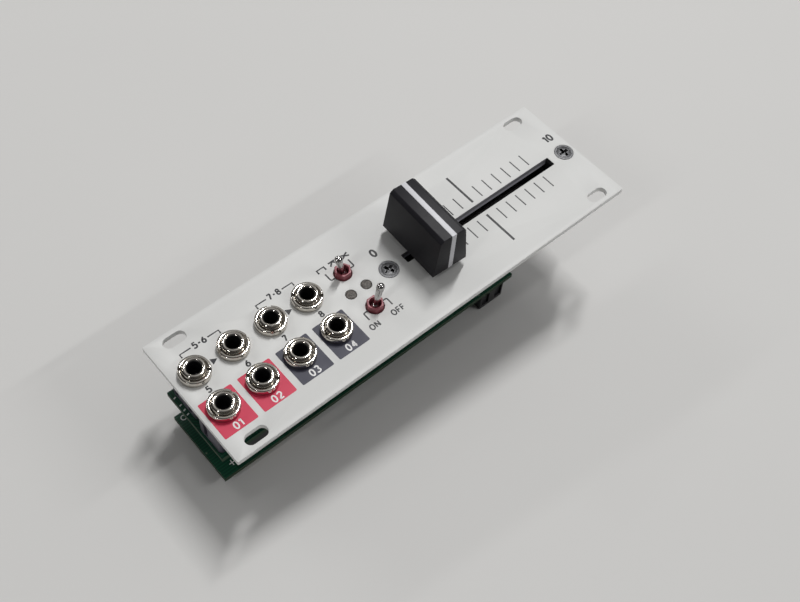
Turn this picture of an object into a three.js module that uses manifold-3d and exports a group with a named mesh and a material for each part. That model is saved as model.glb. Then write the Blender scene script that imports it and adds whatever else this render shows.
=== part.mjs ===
// A crossfader module for a synthesizer rack, one unit high: a printed aluminium panel with eight
// jacks, two toggle switches, two light pipes and one fader, on two stacked circuit boards.
//
// Millimetres, +Z up. The module lies on its back with the panel on top: +X runs along the panel in
// its reading direction, +Y up the panel, +Z out of it. The origin is under the middle of the panel,
// at the height of the mouth of the power header, which is the lowest point.

import * as THREE from 'three';
import { mergeVertices } from 'three/addons/utils/BufferGeometryUtils.js';
import Module from 'manifold-3d';

const wasm = await Module();
wasm.setup();

// Panel
const PANEL_HEIGHT = 39.65;
const PANEL_THICK = 1.6;
const MOUNT_SLOT_LENGTH = 6.4;
const MOUNT_SLOT_WIDTH = 3.3;
const MOUNT_INSET_X = 7.5;
const MOUNT_INSET_Y = 3.0;

// Jacks, in two rows of four, a little above the panel's middle. A jack's window is on one end of
// its length. The upper row's windows face +Y; the lower row lies a quarter turned, facing -X.
const JACK_COUNT = 4;
const JACK_FIRST_X = 5.95;
const JACK_ROWS_ABOVE_MIDDLE = -0.125;
const JACK_BODY_WIDTH = 9.0;
const JACK_BODY_LENGTH = 10.5;
const JACK_BODY_HEIGHT = 10.0;
const JACK_BODY_GAP_X = 0.95;
const JACK_BODY_GAP_Y = 2.25;
const JACK_BODY_CHAMFER = 0.9;
const JACK_SHELL_WALL = 1.3;
const JACK_SLEEVE_DIAMETER = 5.9;
const JACK_SLEEVE_BORE = 3.6;
const JACK_SLEEVE_RISE = 2.9;
const JACK_SLEEVE_SEAT = 1.0;
const JACK_SLEEVE_CHAMFER = 0.35;
const JACK_SOCKET_BORE = 4.2;
const JACK_SOCKET_FLOOR = 1.5;
const JACK_WINDOW_WIDTH = 1.6;
const JACK_WINDOW_HEIGHT = 6.6;
const JACK_WINDOW_SILL = 1.2;
const JACK_WINDOW_ASIDE = 1.4;
const JACK_TURNS_DEG = { lower: -90, upper: 180 };
const JACK_HOLE_CLEARANCE = 0.2;

// Nuts: round, with two slots across the top for the driver, each left at its own turn
const NUT_HEIGHT = 1.9;
const NUT_THREAD_CLEARANCE = 0.15;
const NUT_WIDTH = 1.05;
const NUT_EDGE = 0.25;
const NUT_RIM_WIDTH = 0.5;
const NUT_DISH_DEPTH = 0.45;
const NUT_SLOT_WIDTH = 1.1;
const NUT_SLOT_DEPTH = 0.9;
const NUT_TURNS_DEG = { lower: [20, -45, -21, 3], upper: [-39, -3, 60, -40] };

// Toggle switches, one each side of the light pipes
const JACK_TO_TOGGLE = 3.3;
const TOGGLE_HOLE_CLEARANCE = 0.2;
const TOGGLE_HOUSING_WIDTH = 7.2;
const TOGGLE_HOUSING_LENGTH = 8.0;
const TOGGLE_CAVITY_DEPTH = 3.6;
const COLLAR_FLATS = 4.07;
const COLLAR_WALL = 0.4;
const COLLAR_RISE = 1.6;
const LEVER_LEAN_DEG = 12;
const LEVER_PIVOT_RISE = 0.1;
const LEVER_BALL_CLEARANCE = 0.4;
const LEVER_NECK_DIAMETER = 1.6;
const LEVER_TIP_DIAMETER = 2.2;
const LEVER_LENGTH = 8.3;
const LEVER_TAIL_LENGTH = 3.2;
const LEVER_TAIL_DIAMETER = 1.3;

// Light pipes
const PIPE_DIAMETER = 2.8;
const PIPE_CLEARANCE = 0.15;
const PIPE_FOOT_DIAMETER = 4.4;
const PIPE_FOOT_HEIGHT = 2.2;
const PIPE_FOOT_GAP = 0.68;
const PIPE_TO_TOGGLE = 0.3;

// Fader, seen from its stroke inwards
const FADER_TRAVEL = 45.0;
const FADER_REST_FROM_END = 1.7;
const FADER_SLOT_WIDTH = 3.0;
const FADER_SLOT_END_ROOM = 2.0;
const FADER_SLOT_CORNER = 0.3;
const FADER_FRAME_WIDTH = 12.0;
const FADER_FRAME_DEPTH = 9.4;
const FADER_FRAME_WALL = 1.0;
const FADER_SCREW_ROOM = 4.0;
const FADER_SCREW_TO_END = 2.9;
const RAIL_DIAMETER = 1.8;
const RAIL_COVER = 0.2;
const CARRIAGE_LENGTH = 11.0;
const CARRIAGE_HEIGHT = 4.6;
const CARRIAGE_END_ROOM = 0.8;
const CARRIAGE_SIDE_ROOM = 0.4;
const CARRIAGE_TRACK_ROOM = 0.7;
const STEM_LENGTH = 6.0;
const STEM_WIDTH = 1.2;
const STEM_REACH = 9.6;
const STEM_ROOT = 2.4;
const TRACK_BOARD_THICK = 1.0;
const WIPER_LENGTH = 8.0;
const WIPER_WIDTH = 6.0;
const WIPER_THICK = 0.3;
const WIPER_GAP = 0.3;
const RISER_LENGTH = 10.16;
const RISER_WIDTH = 2.5;
const RISER_FROM_MIDDLE = 14.0;

// Fader cap, turned a little on its stem as it sits in the photograph
const CAP_TWIST_DEG = -2.4;
const CAP_LIFT = 2.2;
const CAP_HEIGHT = 13.45;
const CAP_BASE_WIDTH = 11.4;
const CAP_TOP_WIDTH = 8.3;
const CAP_BASE_LENGTH = 21.0;
const CAP_TOP_LENGTH = 20.76;
const CAP_EDGE_HEIGHT = 0.85;
const CAP_EDGE_RUN = 1.0;
const CAP_STEM_CLEARANCE = 0.3;

// Countersunk panel screws
const SCREW_HEAD_DIAMETER = 5.5;
const SCREW_HEAD_HEIGHT = 1.4;
const SCREW_HEAD_RIM = 0.25;
const SCREW_SHANK_DIAMETER = 2.6;
const SCREW_LENGTH = 6.0;
const SCREW_CLEARANCE = 0.15;
const SCREW_CROSS_LENGTH = 3.0;
const SCREW_CROSS_WIDTH = 0.7;
const SCREW_CROSS_DEPTH = 0.9;
const SCREW_HEAD_TO_EDGE = 0.73;

// Boards
const BOARD_THICK = 1.6;
const BOARD_INSET = 0.15;
const UPPER_BOARD_MARGIN_X = 0.96;
const UPPER_BOARD_MARGIN_Y = 0.5;
const UPPER_BOARD_TO_FADER = 1.65;
const LOWER_BOARD_HEIGHT = 22.6;
const LOWER_BOARD_MARGIN_X = 1.45;

// Headers between the boards
const PIN_PITCH = 2.54;
const PIN_WIDTH = 0.64;
const PIN_CLEARANCE = 0.3;
const PIN_TAIL = 3.2;
const PIN_REACH = 6.0;
const SOCKET_HEIGHT = 8.3;
const INSULATOR_HEIGHT = 2.5;
const HEADER_ROWS = 2;
const NEAR_HEADER_PINS = 9;
const NEAR_HEADER_X = 19.0;
const FAR_HEADER_PINS = 5;
const FAR_HEADER_X = 11.0;
const HEADER_INSET_Y = 3.3;

// Parts soldered on the lower board's underside
const CHIP_LENGTH = 8.7;
const CHIP_WIDTH = 3.9;
const CHIP_HEIGHT = 1.6;
const CHIP_FIRST_X = 46.0;
const CHIP_GAP = 3.8;
const CHIP_COUNT = 3;
const CHIP_FROM_MIDDLE_Y = 3.4;
const CHIP_TO_CAN = 5.85;
const CAN_DIAMETER = 6.3;
const CAN_BASE = 6.6;
const CAN_BASE_HEIGHT = 0.9;
const CAN_HEIGHT = 5.4;
const CAN_GAP = 2.4;

// Power header
const CAN_TO_POWER = 3.4;
const POWER_WIDTH = 8.8;
const POWER_LENGTH = 20.3;
const POWER_HEIGHT = 8.9;
const POWER_WALL = 1.2;
const POWER_FLOOR = 2.6;
const POWER_KEY_WIDTH = 4.5;
const POWER_KEY_SILL = 1.6;
const POWER_PINS = 5;
const POWER_PIN_REACH = 5.4;
const POWER_PIN_TAIL = 0.9;
const POWER_POCKET_WIDTH = 2.6;
const POWER_POCKET_DEPTH = 0.6;
const POWER_POCKET_RIM = 1.3;

// How far a cutting shape runs past the face that it opens, and how finely round pieces are cut
const OVERRUN = 0.5;
const ROUND_SIDES = 20;
const SMALL_ROUND_SIDES = 12;
const CORNER_STEPS = 2;

// Points closer than this are one point
const MERGE_DISTANCE = 1e-5;

// Sizes that follow from what a piece goes through or holds
const JACK_PITCH = JACK_BODY_LENGTH + JACK_BODY_GAP_X;
const JACK_ROW_PITCH = (JACK_BODY_WIDTH + JACK_BODY_LENGTH) / 2 + JACK_BODY_GAP_Y;
const JACK_HOLE_DIAMETER = JACK_SLEEVE_DIAMETER + 2 * JACK_HOLE_CLEARANCE;
const NUT_BORE = JACK_SLEEVE_DIAMETER + 2 * NUT_THREAD_CLEARANCE;
const NUT_DIAMETER = NUT_BORE + 2 * NUT_WIDTH;
const COLLAR_BORE = COLLAR_FLATS - 2 * COLLAR_WALL;
const COLLAR_CORNERS = 2 * COLLAR_FLATS / Math.sqrt(3);
const TOGGLE_HOLE_DIAMETER = COLLAR_CORNERS + 2 * TOGGLE_HOLE_CLEARANCE;
const LEVER_BALL_DIAMETER = COLLAR_BORE - 2 * LEVER_BALL_CLEARANCE;
const TOGGLE_PITCH = TOGGLE_HOUSING_LENGTH + PIPE_FOOT_DIAMETER + 2 * PIPE_TO_TOGGLE;
const PIPE_SPACING = PIPE_FOOT_DIAMETER + PIPE_FOOT_GAP;
const CARRIAGE_WIDTH = FADER_FRAME_WIDTH - 2 * (FADER_FRAME_WALL + CARRIAGE_SIDE_ROOM);
const RAIL_SPACING = CARRIAGE_WIDTH - RAIL_DIAMETER - 2 * (PIN_CLEARANCE + RAIL_COVER);
const RAIL_DEPTH = FADER_FRAME_DEPTH - TRACK_BOARD_THICK - CARRIAGE_TRACK_ROOM - CARRIAGE_HEIGHT / 2;
const CHIP_PITCH = CHIP_LENGTH + CHIP_GAP;
const CAN_SPACING = CAN_BASE + CAN_GAP;

// The stroke sets the slot that the stem runs in, the chamber that the carriage runs in, and the rails
const FADER_SLOT_LENGTH = FADER_TRAVEL + STEM_LENGTH + 2 * FADER_SLOT_END_ROOM;
const FADER_CHAMBER_LENGTH = FADER_TRAVEL + CARRIAGE_LENGTH + 2 * CARRIAGE_END_ROOM;
const RAIL_LENGTH = FADER_CHAMBER_LENGTH + 4 * FADER_FRAME_WALL;
const FADER_SCREW_SPAN = RAIL_LENGTH + FADER_SCREW_ROOM;
const FADER_FRAME_LENGTH = FADER_SCREW_SPAN + 2 * FADER_SCREW_TO_END;

// Places along the panel, from its left edge, each from what stands before it
const LAST_JACK_X = JACK_FIRST_X + (JACK_COUNT - 1) * JACK_PITCH;
const TOGGLE_X = LAST_JACK_X + JACK_BODY_LENGTH / 2 + JACK_TO_TOGGLE + TOGGLE_HOUSING_WIDTH / 2;
const PIPES_END = TOGGLE_X + PIPE_SPACING / 2 + PIPE_FOOT_DIAMETER / 2;
const UPPER_BOARD_END = PIPES_END + UPPER_BOARD_MARGIN_X;
const FADER_X = UPPER_BOARD_END + UPPER_BOARD_TO_FADER + FADER_FRAME_LENGTH / 2;
const STEM_X = FADER_X - FADER_TRAVEL / 2 + FADER_REST_FROM_END;
const SCREWS_END = FADER_X + FADER_SCREW_SPAN / 2 + SCREW_HEAD_DIAMETER / 2;
const PANEL_WIDTH = SCREWS_END + SCREW_HEAD_TO_EDGE;
const CHIPS_END = CHIP_FIRST_X + (CHIP_COUNT - 1) * CHIP_PITCH + CHIP_LENGTH / 2;
const CAN_X = CHIPS_END + CHIP_TO_CAN + CAN_BASE / 2;
const POWER_X = CAN_X + CAN_BASE / 2 + CAN_TO_POWER + POWER_WIDTH / 2;
const LOWER_BOARD_END = POWER_X + POWER_WIDTH / 2 + LOWER_BOARD_MARGIN_X;
const UPPER_BOARD_LENGTH = UPPER_BOARD_END - BOARD_INSET;
const LOWER_BOARD_LENGTH = LOWER_BOARD_END - BOARD_INSET;

// Places up the panel, from its lower edge
const MIDDLE_Y = PANEL_HEIGHT / 2;
const JACK_LOWER_Y = MIDDLE_Y + JACK_ROWS_ABOVE_MIDDLE - JACK_ROW_PITCH / 2;
const UPPER_BOARD_HEIGHT = JACK_ROW_PITCH + JACK_BODY_LENGTH + 2 * UPPER_BOARD_MARGIN_Y;

// Heights of the faces that pieces meet at, from the panel's top face
const PANEL_BACK = -PANEL_THICK;
const UPPER_BOARD_TOP = PANEL_BACK - JACK_BODY_HEIGHT;
const UPPER_BOARD_BACK = UPPER_BOARD_TOP - BOARD_THICK;
const LOWER_BOARD_TOP = UPPER_BOARD_BACK - SOCKET_HEIGHT - INSULATOR_HEIGHT;
const LOWER_BOARD_BACK = LOWER_BOARD_TOP - BOARD_THICK;
const REST_LEVEL = LOWER_BOARD_BACK - POWER_HEIGHT;
const FRAME_BACK = PANEL_BACK - FADER_FRAME_DEPTH;
const TRACK_TOP = FRAME_BACK + TRACK_BOARD_THICK;
const RAIL_LEVEL = PANEL_BACK - RAIL_DEPTH;
const CARRIAGE_TOP = RAIL_LEVEL + CARRIAGE_HEIGHT / 2;
const CARRIAGE_BACK = RAIL_LEVEL - CARRIAGE_HEIGHT / 2;

// Materials
const paint = (color, roughness, metalness = 0) => (
  new THREE.MeshStandardMaterial({ color, roughness, metalness })
);
const PAINTED_PANEL = paint(0xd8d7d4, 0.55);
const BLACK_PLASTIC = paint(0x24232a, 0.45);
const GREY_PLASTIC = paint(0x66626e, 0.5);
const RED_PLASTIC = paint(0x8c4650, 0.5);
const NICKEL = paint(0xb9b7b2, 0.25, 1);
const STEEL = paint(0x9a9a9c, 0.35, 1);
const SMOKED_PLASTIC = paint(0x8c877d, 0.3);
const BOARD_GREEN = paint(0x0b3c25, 0.4);
const GOLD_PINS = paint(0xc9a84e, 0.3, 1);
const PHENOLIC = paint(0x6b4a2a, 0.7);

// Solids: a closed three.js geometry becomes one that can be joined and cut, and goes back again
function solid(geometry) {
  geometry.deleteAttribute('normal');
  geometry.deleteAttribute('uv');
  const merged = mergeVertices(geometry, MERGE_DISTANCE);
  return new wasm.Manifold(new wasm.Mesh({
    numProp: 3,
    vertProperties: Float32Array.from(merged.attributes.position.array),
    triVerts: Uint32Array.from(merged.index.array),
  }));
}

function surface(shape) {
  const mesh = shape.getMesh();
  const geometry = new THREE.BufferGeometry();
  geometry.setAttribute('position', new THREE.BufferAttribute(Float32Array.from(mesh.vertProperties), 3));
  geometry.setIndex(Array.from(mesh.triVerts));
  geometry.computeVertexNormals();
  return geometry;
}

const joined = (shapes) => shapes.reduce((whole, next) => whole.add(next));
const cut = (shape, tools) => tools.reduce((rest, tool) => rest.subtract(tool), shape);

// A box by its middle in X and Y, its two sides, and the heights of its bottom and top faces
function block(x, y, width, length, bottom, top) {
  const geometry = new THREE.BoxGeometry(width, length, top - bottom);
  geometry.translate(x, y, (top + bottom) / 2);
  return solid(geometry);
}

// A round bar standing along Z
function rod(x, y, diameter, bottom, top, sides = ROUND_SIDES) {
  const geometry = new THREE.CylinderGeometry(diameter / 2, diameter / 2, top - bottom, sides);
  geometry.rotateX(Math.PI / 2);
  geometry.translate(x, y, (top + bottom) / 2);
  return solid(geometry);
}

// A round bar lying along X
function railBar(x, y, z, diameter, length, sides = SMALL_ROUND_SIDES) {
  const geometry = new THREE.CylinderGeometry(diameter / 2, diameter / 2, length, sides);
  geometry.rotateZ(Math.PI / 2);
  geometry.translate(x, y, z);
  return solid(geometry);
}

// A flat outline standing on the height `bottom` and reaching up to `top`
function slab(outline, bottom, top) {
  const geometry = new THREE.ExtrudeGeometry(outline, { depth: top - bottom, bevelEnabled: false });
  geometry.translate(0, 0, bottom);
  return solid(geometry);
}

// A rectangle with round corners; a corner of half the length makes a slot with round ends
function roundedOutline(x, y, width, length, corner, steps = CORNER_STEPS) {
  const outline = new THREE.Shape();
  const points = [];
  const quarters = [[1, 1], [-1, 1], [-1, -1], [1, -1]];
  quarters.forEach(([sideX, sideY], quarter) => {
    for (let step = 0; step <= steps; step += 1) {
      const angle = (quarter + step / steps) * Math.PI / 2;
      const middleX = x + sideX * (width / 2 - corner);
      const middleY = y + sideY * (length / 2 - corner);
      points.push(new THREE.Vector2(middleX + corner * Math.cos(angle), middleY + corner * Math.sin(angle)));
    }
  });
  outline.setFromPoints(points.filter((point, i) => i === 0 || point.distanceTo(points[i - 1]) > 0));
  return outline;
}

// A regular hexagon with two flats across Y, by the distance over its corners
function hexagonOutline(x, y, corners) {
  const radius = corners / 2;
  const points = [];
  for (let corner = 0; corner < 6; corner += 1) {
    const angle = corner * Math.PI / 3;
    points.push(new THREE.Vector2(x + radius * Math.cos(angle), y + radius * Math.sin(angle)));
  }
  return new THREE.Shape(points);
}

// A turned piece: its profile is a list of [radius, height], starting and ending on the axis or closing
function turned(x, y, profile, sides = ROUND_SIDES) {
  const points = profile.map(([radius, height]) => new THREE.Vector2(radius, height));
  const geometry = new THREE.LatheGeometry(points, sides);
  geometry.rotateX(Math.PI / 2);
  geometry.translate(x, y, 0);
  return solid(geometry);
}

const module = new THREE.Group();
module.position.set(-PANEL_WIDTH / 2, -PANEL_HEIGHT / 2, -REST_LEVEL);

function place(name, shape, material, parent = module) {
  const mesh = new THREE.Mesh(surface(shape), material);
  mesh.name = name;
  parent.add(mesh);
}

// Places that pieces share
const jackX = (column) => JACK_FIRST_X + column * JACK_PITCH;
const jackRows = [
  { row: 'lower', y: JACK_LOWER_Y },
  { row: 'upper', y: JACK_LOWER_Y + JACK_ROW_PITCH },
];
const toggles = [
  { row: 'upper', y: MIDDLE_Y + TOGGLE_PITCH / 2, lean: -LEVER_LEAN_DEG },
  { row: 'lower', y: MIDDLE_Y - TOGGLE_PITCH / 2, lean: LEVER_LEAN_DEG },
];
const pipes = [
  { side: 'left', x: TOGGLE_X - PIPE_SPACING / 2 },
  { side: 'right', x: TOGGLE_X + PIPE_SPACING / 2 },
];
const screws = [
  { side: 'left', x: FADER_X - FADER_SCREW_SPAN / 2 },
  { side: 'right', x: FADER_X + FADER_SCREW_SPAN / 2 },
];

const railPlaces = [MIDDLE_Y - RAIL_SPACING / 2, MIDDLE_Y + RAIL_SPACING / 2];

// Panel
function panel() {
  const holes = [];
  for (const { y } of jackRows) {
    for (let column = 0; column < JACK_COUNT; column += 1) {
      holes.push(rod(jackX(column), y, JACK_HOLE_DIAMETER, PANEL_BACK - OVERRUN, OVERRUN));
    }
  }
  for (const { y } of toggles) {
    holes.push(rod(TOGGLE_X, y, TOGGLE_HOLE_DIAMETER, PANEL_BACK - OVERRUN, OVERRUN));
  }
  for (const { x } of pipes) {
    const hole = PIPE_DIAMETER + 2 * PIPE_CLEARANCE;
    holes.push(rod(x, MIDDLE_Y, hole, PANEL_BACK - OVERRUN, OVERRUN, SMALL_ROUND_SIDES));
  }
  for (const { x } of screws) {
    holes.push(screwSeat(x));
  }
  for (const x of [MOUNT_INSET_X, PANEL_WIDTH - MOUNT_INSET_X]) {
    for (const y of [MOUNT_INSET_Y, PANEL_HEIGHT - MOUNT_INSET_Y]) {
      const steps = 2 * CORNER_STEPS;
      const outline = roundedOutline(x, y, MOUNT_SLOT_LENGTH, MOUNT_SLOT_WIDTH, MOUNT_SLOT_WIDTH / 2, steps);
      holes.push(slab(outline, PANEL_BACK - OVERRUN, OVERRUN));
    }
  }
  const stroke = roundedOutline(FADER_X, MIDDLE_Y, FADER_SLOT_LENGTH, FADER_SLOT_WIDTH, FADER_SLOT_CORNER, 1);
  holes.push(slab(stroke, PANEL_BACK - OVERRUN, OVERRUN));
  return cut(block(PANEL_WIDTH / 2, PANEL_HEIGHT / 2, PANEL_WIDTH, PANEL_HEIGHT, PANEL_BACK, 0), holes);
}

// Jacks. A body is drawn at the origin with its window towards -Y, then turned as its row is.
function jackBody(x, y, turnDeg) {
  const outline = roundedOutline(0, 0, JACK_BODY_WIDTH, JACK_BODY_LENGTH, JACK_BODY_CHAMFER, 1);
  const seat = PANEL_BACK - JACK_SLEEVE_SEAT;
  const socket = rod(0, 0, JACK_SOCKET_BORE, UPPER_BOARD_TOP + JACK_SOCKET_FLOOR, PANEL_BACK);
  const recess = rod(0, 0, NUT_BORE, seat, PANEL_BACK + OVERRUN);
  const sill = UPPER_BOARD_TOP + JACK_WINDOW_SILL;
  const window = block(-JACK_WINDOW_ASIDE, -JACK_BODY_LENGTH / 2, JACK_WINDOW_WIDTH,
    JACK_BODY_LENGTH - 2 * JACK_SHELL_WALL, sill, sill + JACK_WINDOW_HEIGHT);
  const body = cut(slab(outline, UPPER_BOARD_TOP, PANEL_BACK), [socket, recess, window]);
  return body.rotate([0, 0, turnDeg]).translate([x, y, 0]);
}

function jackSleeve(x, y) {
  const outer = JACK_SLEEVE_DIAMETER / 2;
  const inner = JACK_SLEEVE_BORE / 2;
  const foot = PANEL_BACK - JACK_SLEEVE_SEAT;
  return turned(x, y, [
    [inner, foot],
    [outer, foot],
    [outer, JACK_SLEEVE_RISE - JACK_SLEEVE_CHAMFER],
    [outer - JACK_SLEEVE_CHAMFER, JACK_SLEEVE_RISE],
    [inner + JACK_SLEEVE_CHAMFER, JACK_SLEEVE_RISE],
    [inner, JACK_SLEEVE_RISE - JACK_SLEEVE_CHAMFER],
    [inner, foot],
  ]);
}

function jackNut(x, y, turnDeg) {
  const outer = NUT_DIAMETER / 2;
  const rim = outer - NUT_EDGE - NUT_RIM_WIDTH;
  const ring = turned(x, y, [
    [NUT_BORE / 2, 0],
    [outer, 0],
    [outer, NUT_HEIGHT - NUT_EDGE],
    [outer - NUT_EDGE, NUT_HEIGHT],
    [rim, NUT_HEIGHT],
    [NUT_BORE / 2, NUT_HEIGHT - NUT_DISH_DEPTH],
    [NUT_BORE / 2, 0],
  ]);
  const slots = new THREE.BoxGeometry(2 * NUT_DIAMETER, NUT_SLOT_WIDTH, NUT_SLOT_DEPTH + OVERRUN);
  slots.translate(0, 0, NUT_HEIGHT + (OVERRUN - NUT_SLOT_DEPTH) / 2);
  slots.rotateZ(THREE.MathUtils.degToRad(turnDeg));
  slots.translate(x, y, 0);
  return cut(ring, [solid(slots)]);
}

// Toggle switches
function toggleHousing(y) {
  const shell = block(TOGGLE_X, y, TOGGLE_HOUSING_WIDTH, TOGGLE_HOUSING_LENGTH, UPPER_BOARD_TOP, PANEL_BACK);
  const cavity = rod(TOGGLE_X, y, COLLAR_BORE, PANEL_BACK - TOGGLE_CAVITY_DEPTH, PANEL_BACK + OVERRUN);
  return cut(shell, [cavity]);
}

function toggleCollar(y) {
  const tube = slab(hexagonOutline(TOGGLE_X, y, COLLAR_CORNERS), PANEL_BACK, COLLAR_RISE);
  return cut(tube, [rod(TOGGLE_X, y, COLLAR_BORE, PANEL_BACK - OVERRUN, COLLAR_RISE + OVERRUN)]);
}

// The lever is turned about its pivot, which is the origin of its own group
function toggleLever() {
  const tip = LEVER_TIP_DIAMETER / 2;
  const ball = LEVER_BALL_DIAMETER / 2;
  const neck = LEVER_NECK_DIAMETER / 2;
  const tail = LEVER_TAIL_DIAMETER / 2;
  const points = [[0, -LEVER_TAIL_LENGTH], [tail, -LEVER_TAIL_LENGTH]];
  const steps = 2 * CORNER_STEPS;
  const low = Math.asin(tail / ball);
  const high = Math.asin(neck / ball);
  for (let step = 0; step <= steps; step += 1) {
    const angle = -Math.PI / 2 + low + (step / steps) * (Math.PI - low - high);
    points.push([ball * Math.cos(angle), ball * Math.sin(angle)]);
  }
  const tipMiddle = LEVER_LENGTH - tip;
  const start = Math.PI / 6;
  for (let step = 0; step <= steps; step += 1) {
    const angle = -start + (step / steps) * (Math.PI / 2 + start);
    points.push([step === steps ? 0 : tip * Math.cos(angle), tipMiddle + tip * Math.sin(angle)]);
  }
  return turned(0, 0, points, SMALL_ROUND_SIDES);
}

// Light pipes, each standing on the upper board with its face flush with the panel's
function lightPipe(x) {
  const foot = rod(x, MIDDLE_Y, PIPE_FOOT_DIAMETER, UPPER_BOARD_TOP, UPPER_BOARD_TOP + PIPE_FOOT_HEIGHT,
    SMALL_ROUND_SIDES);
  return foot.add(rod(x, MIDDLE_Y, PIPE_DIAMETER, UPPER_BOARD_TOP, 0, SMALL_ROUND_SIDES));
}

// Screws and the seats that they fill
function screwSeat(x) {
  const hole = SCREW_SHANK_DIAMETER / 2 + SCREW_CLEARANCE;
  const sink = SCREW_HEAD_DIAMETER / 2 + SCREW_CLEARANCE;
  return turned(x, MIDDLE_Y, [
    [0, PANEL_BACK - OVERRUN],
    [hole, PANEL_BACK - OVERRUN],
    [hole, -SCREW_HEAD_HEIGHT],
    [sink, -SCREW_HEAD_RIM],
    [sink, OVERRUN],
    [0, OVERRUN],
  ]);
}

function screw(x) {
  const head = turned(x, MIDDLE_Y, [
    [0, -SCREW_LENGTH],
    [SCREW_SHANK_DIAMETER / 2, -SCREW_LENGTH],
    [SCREW_SHANK_DIAMETER / 2, -SCREW_HEAD_HEIGHT],
    [SCREW_HEAD_DIAMETER / 2, -SCREW_HEAD_RIM],
    [SCREW_HEAD_DIAMETER / 2, 0],
    [0, 0],
  ]);
  const cross = joined([
    block(x, MIDDLE_Y, SCREW_CROSS_LENGTH, SCREW_CROSS_WIDTH, -SCREW_CROSS_DEPTH, OVERRUN),
    block(x, MIDDLE_Y, SCREW_CROSS_WIDTH, SCREW_CROSS_LENGTH, -SCREW_CROSS_DEPTH, OVERRUN),
  ]);
  return cut(head, [cross]);
}

// Fader: a channel that closes on its track board, two rails, a carriage with its wiper, and a stem
function faderFrame() {
  const shell = block(FADER_X, MIDDLE_Y, FADER_FRAME_LENGTH, FADER_FRAME_WIDTH, FRAME_BACK, PANEL_BACK);
  const chamberWidth = FADER_FRAME_WIDTH - 2 * FADER_FRAME_WALL;
  const chamber = block(FADER_X, MIDDLE_Y, FADER_CHAMBER_LENGTH, chamberWidth,
    FRAME_BACK - OVERRUN, PANEL_BACK - FADER_FRAME_WALL);
  const slot = block(FADER_X, MIDDLE_Y, FADER_SLOT_LENGTH, FADER_SLOT_WIDTH,
    PANEL_BACK - 2 * FADER_FRAME_WALL, PANEL_BACK + OVERRUN);
  const bay = block(FADER_X, MIDDLE_Y, FADER_CHAMBER_LENGTH + 2 * FADER_FRAME_WALL, chamberWidth,
    FRAME_BACK - OVERRUN, TRACK_TOP);
  const wells = screws.map(({ x }) => rod(x, MIDDLE_Y, SCREW_SHANK_DIAMETER + 2 * SCREW_CLEARANCE,
    -SCREW_LENGTH - SCREW_CLEARANCE, PANEL_BACK + OVERRUN));
  const seats = railPlaces.map((y) => railBar(FADER_X, y, RAIL_LEVEL, RAIL_DIAMETER + 2 * PIN_CLEARANCE,
    RAIL_LENGTH + 2 * PIN_CLEARANCE));
  return cut(shell, [chamber, slot, bay, ...wells, ...seats]);
}

function carriage() {
  const body = block(STEM_X, MIDDLE_Y, CARRIAGE_LENGTH, CARRIAGE_WIDTH, CARRIAGE_BACK, CARRIAGE_TOP);
  const bores = railPlaces.map((y) => railBar(STEM_X, y, RAIL_LEVEL, RAIL_DIAMETER + 2 * PIN_CLEARANCE,
    CARRIAGE_LENGTH + 2 * OVERRUN));
  const socket = block(STEM_X, MIDDLE_Y, STEM_LENGTH + 2 * PIN_CLEARANCE, STEM_WIDTH + 2 * PIN_CLEARANCE,
    CARRIAGE_TOP - STEM_ROOT, CARRIAGE_TOP + OVERRUN);
  return cut(body, [...bores, socket]);
}

function stem() {
  return block(STEM_X, MIDDLE_Y, STEM_LENGTH, STEM_WIDTH, CARRIAGE_TOP - STEM_ROOT, STEM_REACH);
}

function wiper() {
  const back = CARRIAGE_BACK - WIPER_THICK;
  const plate = block(STEM_X, MIDDLE_Y, WIPER_LENGTH, WIPER_WIDTH, back, CARRIAGE_BACK);
  const reach = CARRIAGE_BACK - TRACK_TOP - WIPER_GAP;
  const feet = railPlaces.map((y) => block(STEM_X, MIDDLE_Y + (y - MIDDLE_Y) * WIPER_WIDTH / CARRIAGE_WIDTH,
    WIPER_LENGTH / 2, WIPER_WIDTH / 4, CARRIAGE_BACK - reach, CARRIAGE_BACK));
  return joined([plate, ...feet]);
}

function trackBoard() {
  const width = FADER_FRAME_WIDTH - 2 * FADER_FRAME_WALL - 2 * PIN_CLEARANCE;
  const length = FADER_CHAMBER_LENGTH + 2 * FADER_FRAME_WALL - 2 * PIN_CLEARANCE;
  return block(FADER_X, MIDDLE_Y, length, width, FRAME_BACK, TRACK_TOP);
}

function riser() {
  const x = FADER_X - RISER_FROM_MIDDLE;
  return block(x, MIDDLE_Y, RISER_LENGTH, RISER_WIDTH, LOWER_BOARD_TOP, FRAME_BACK);
}

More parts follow.
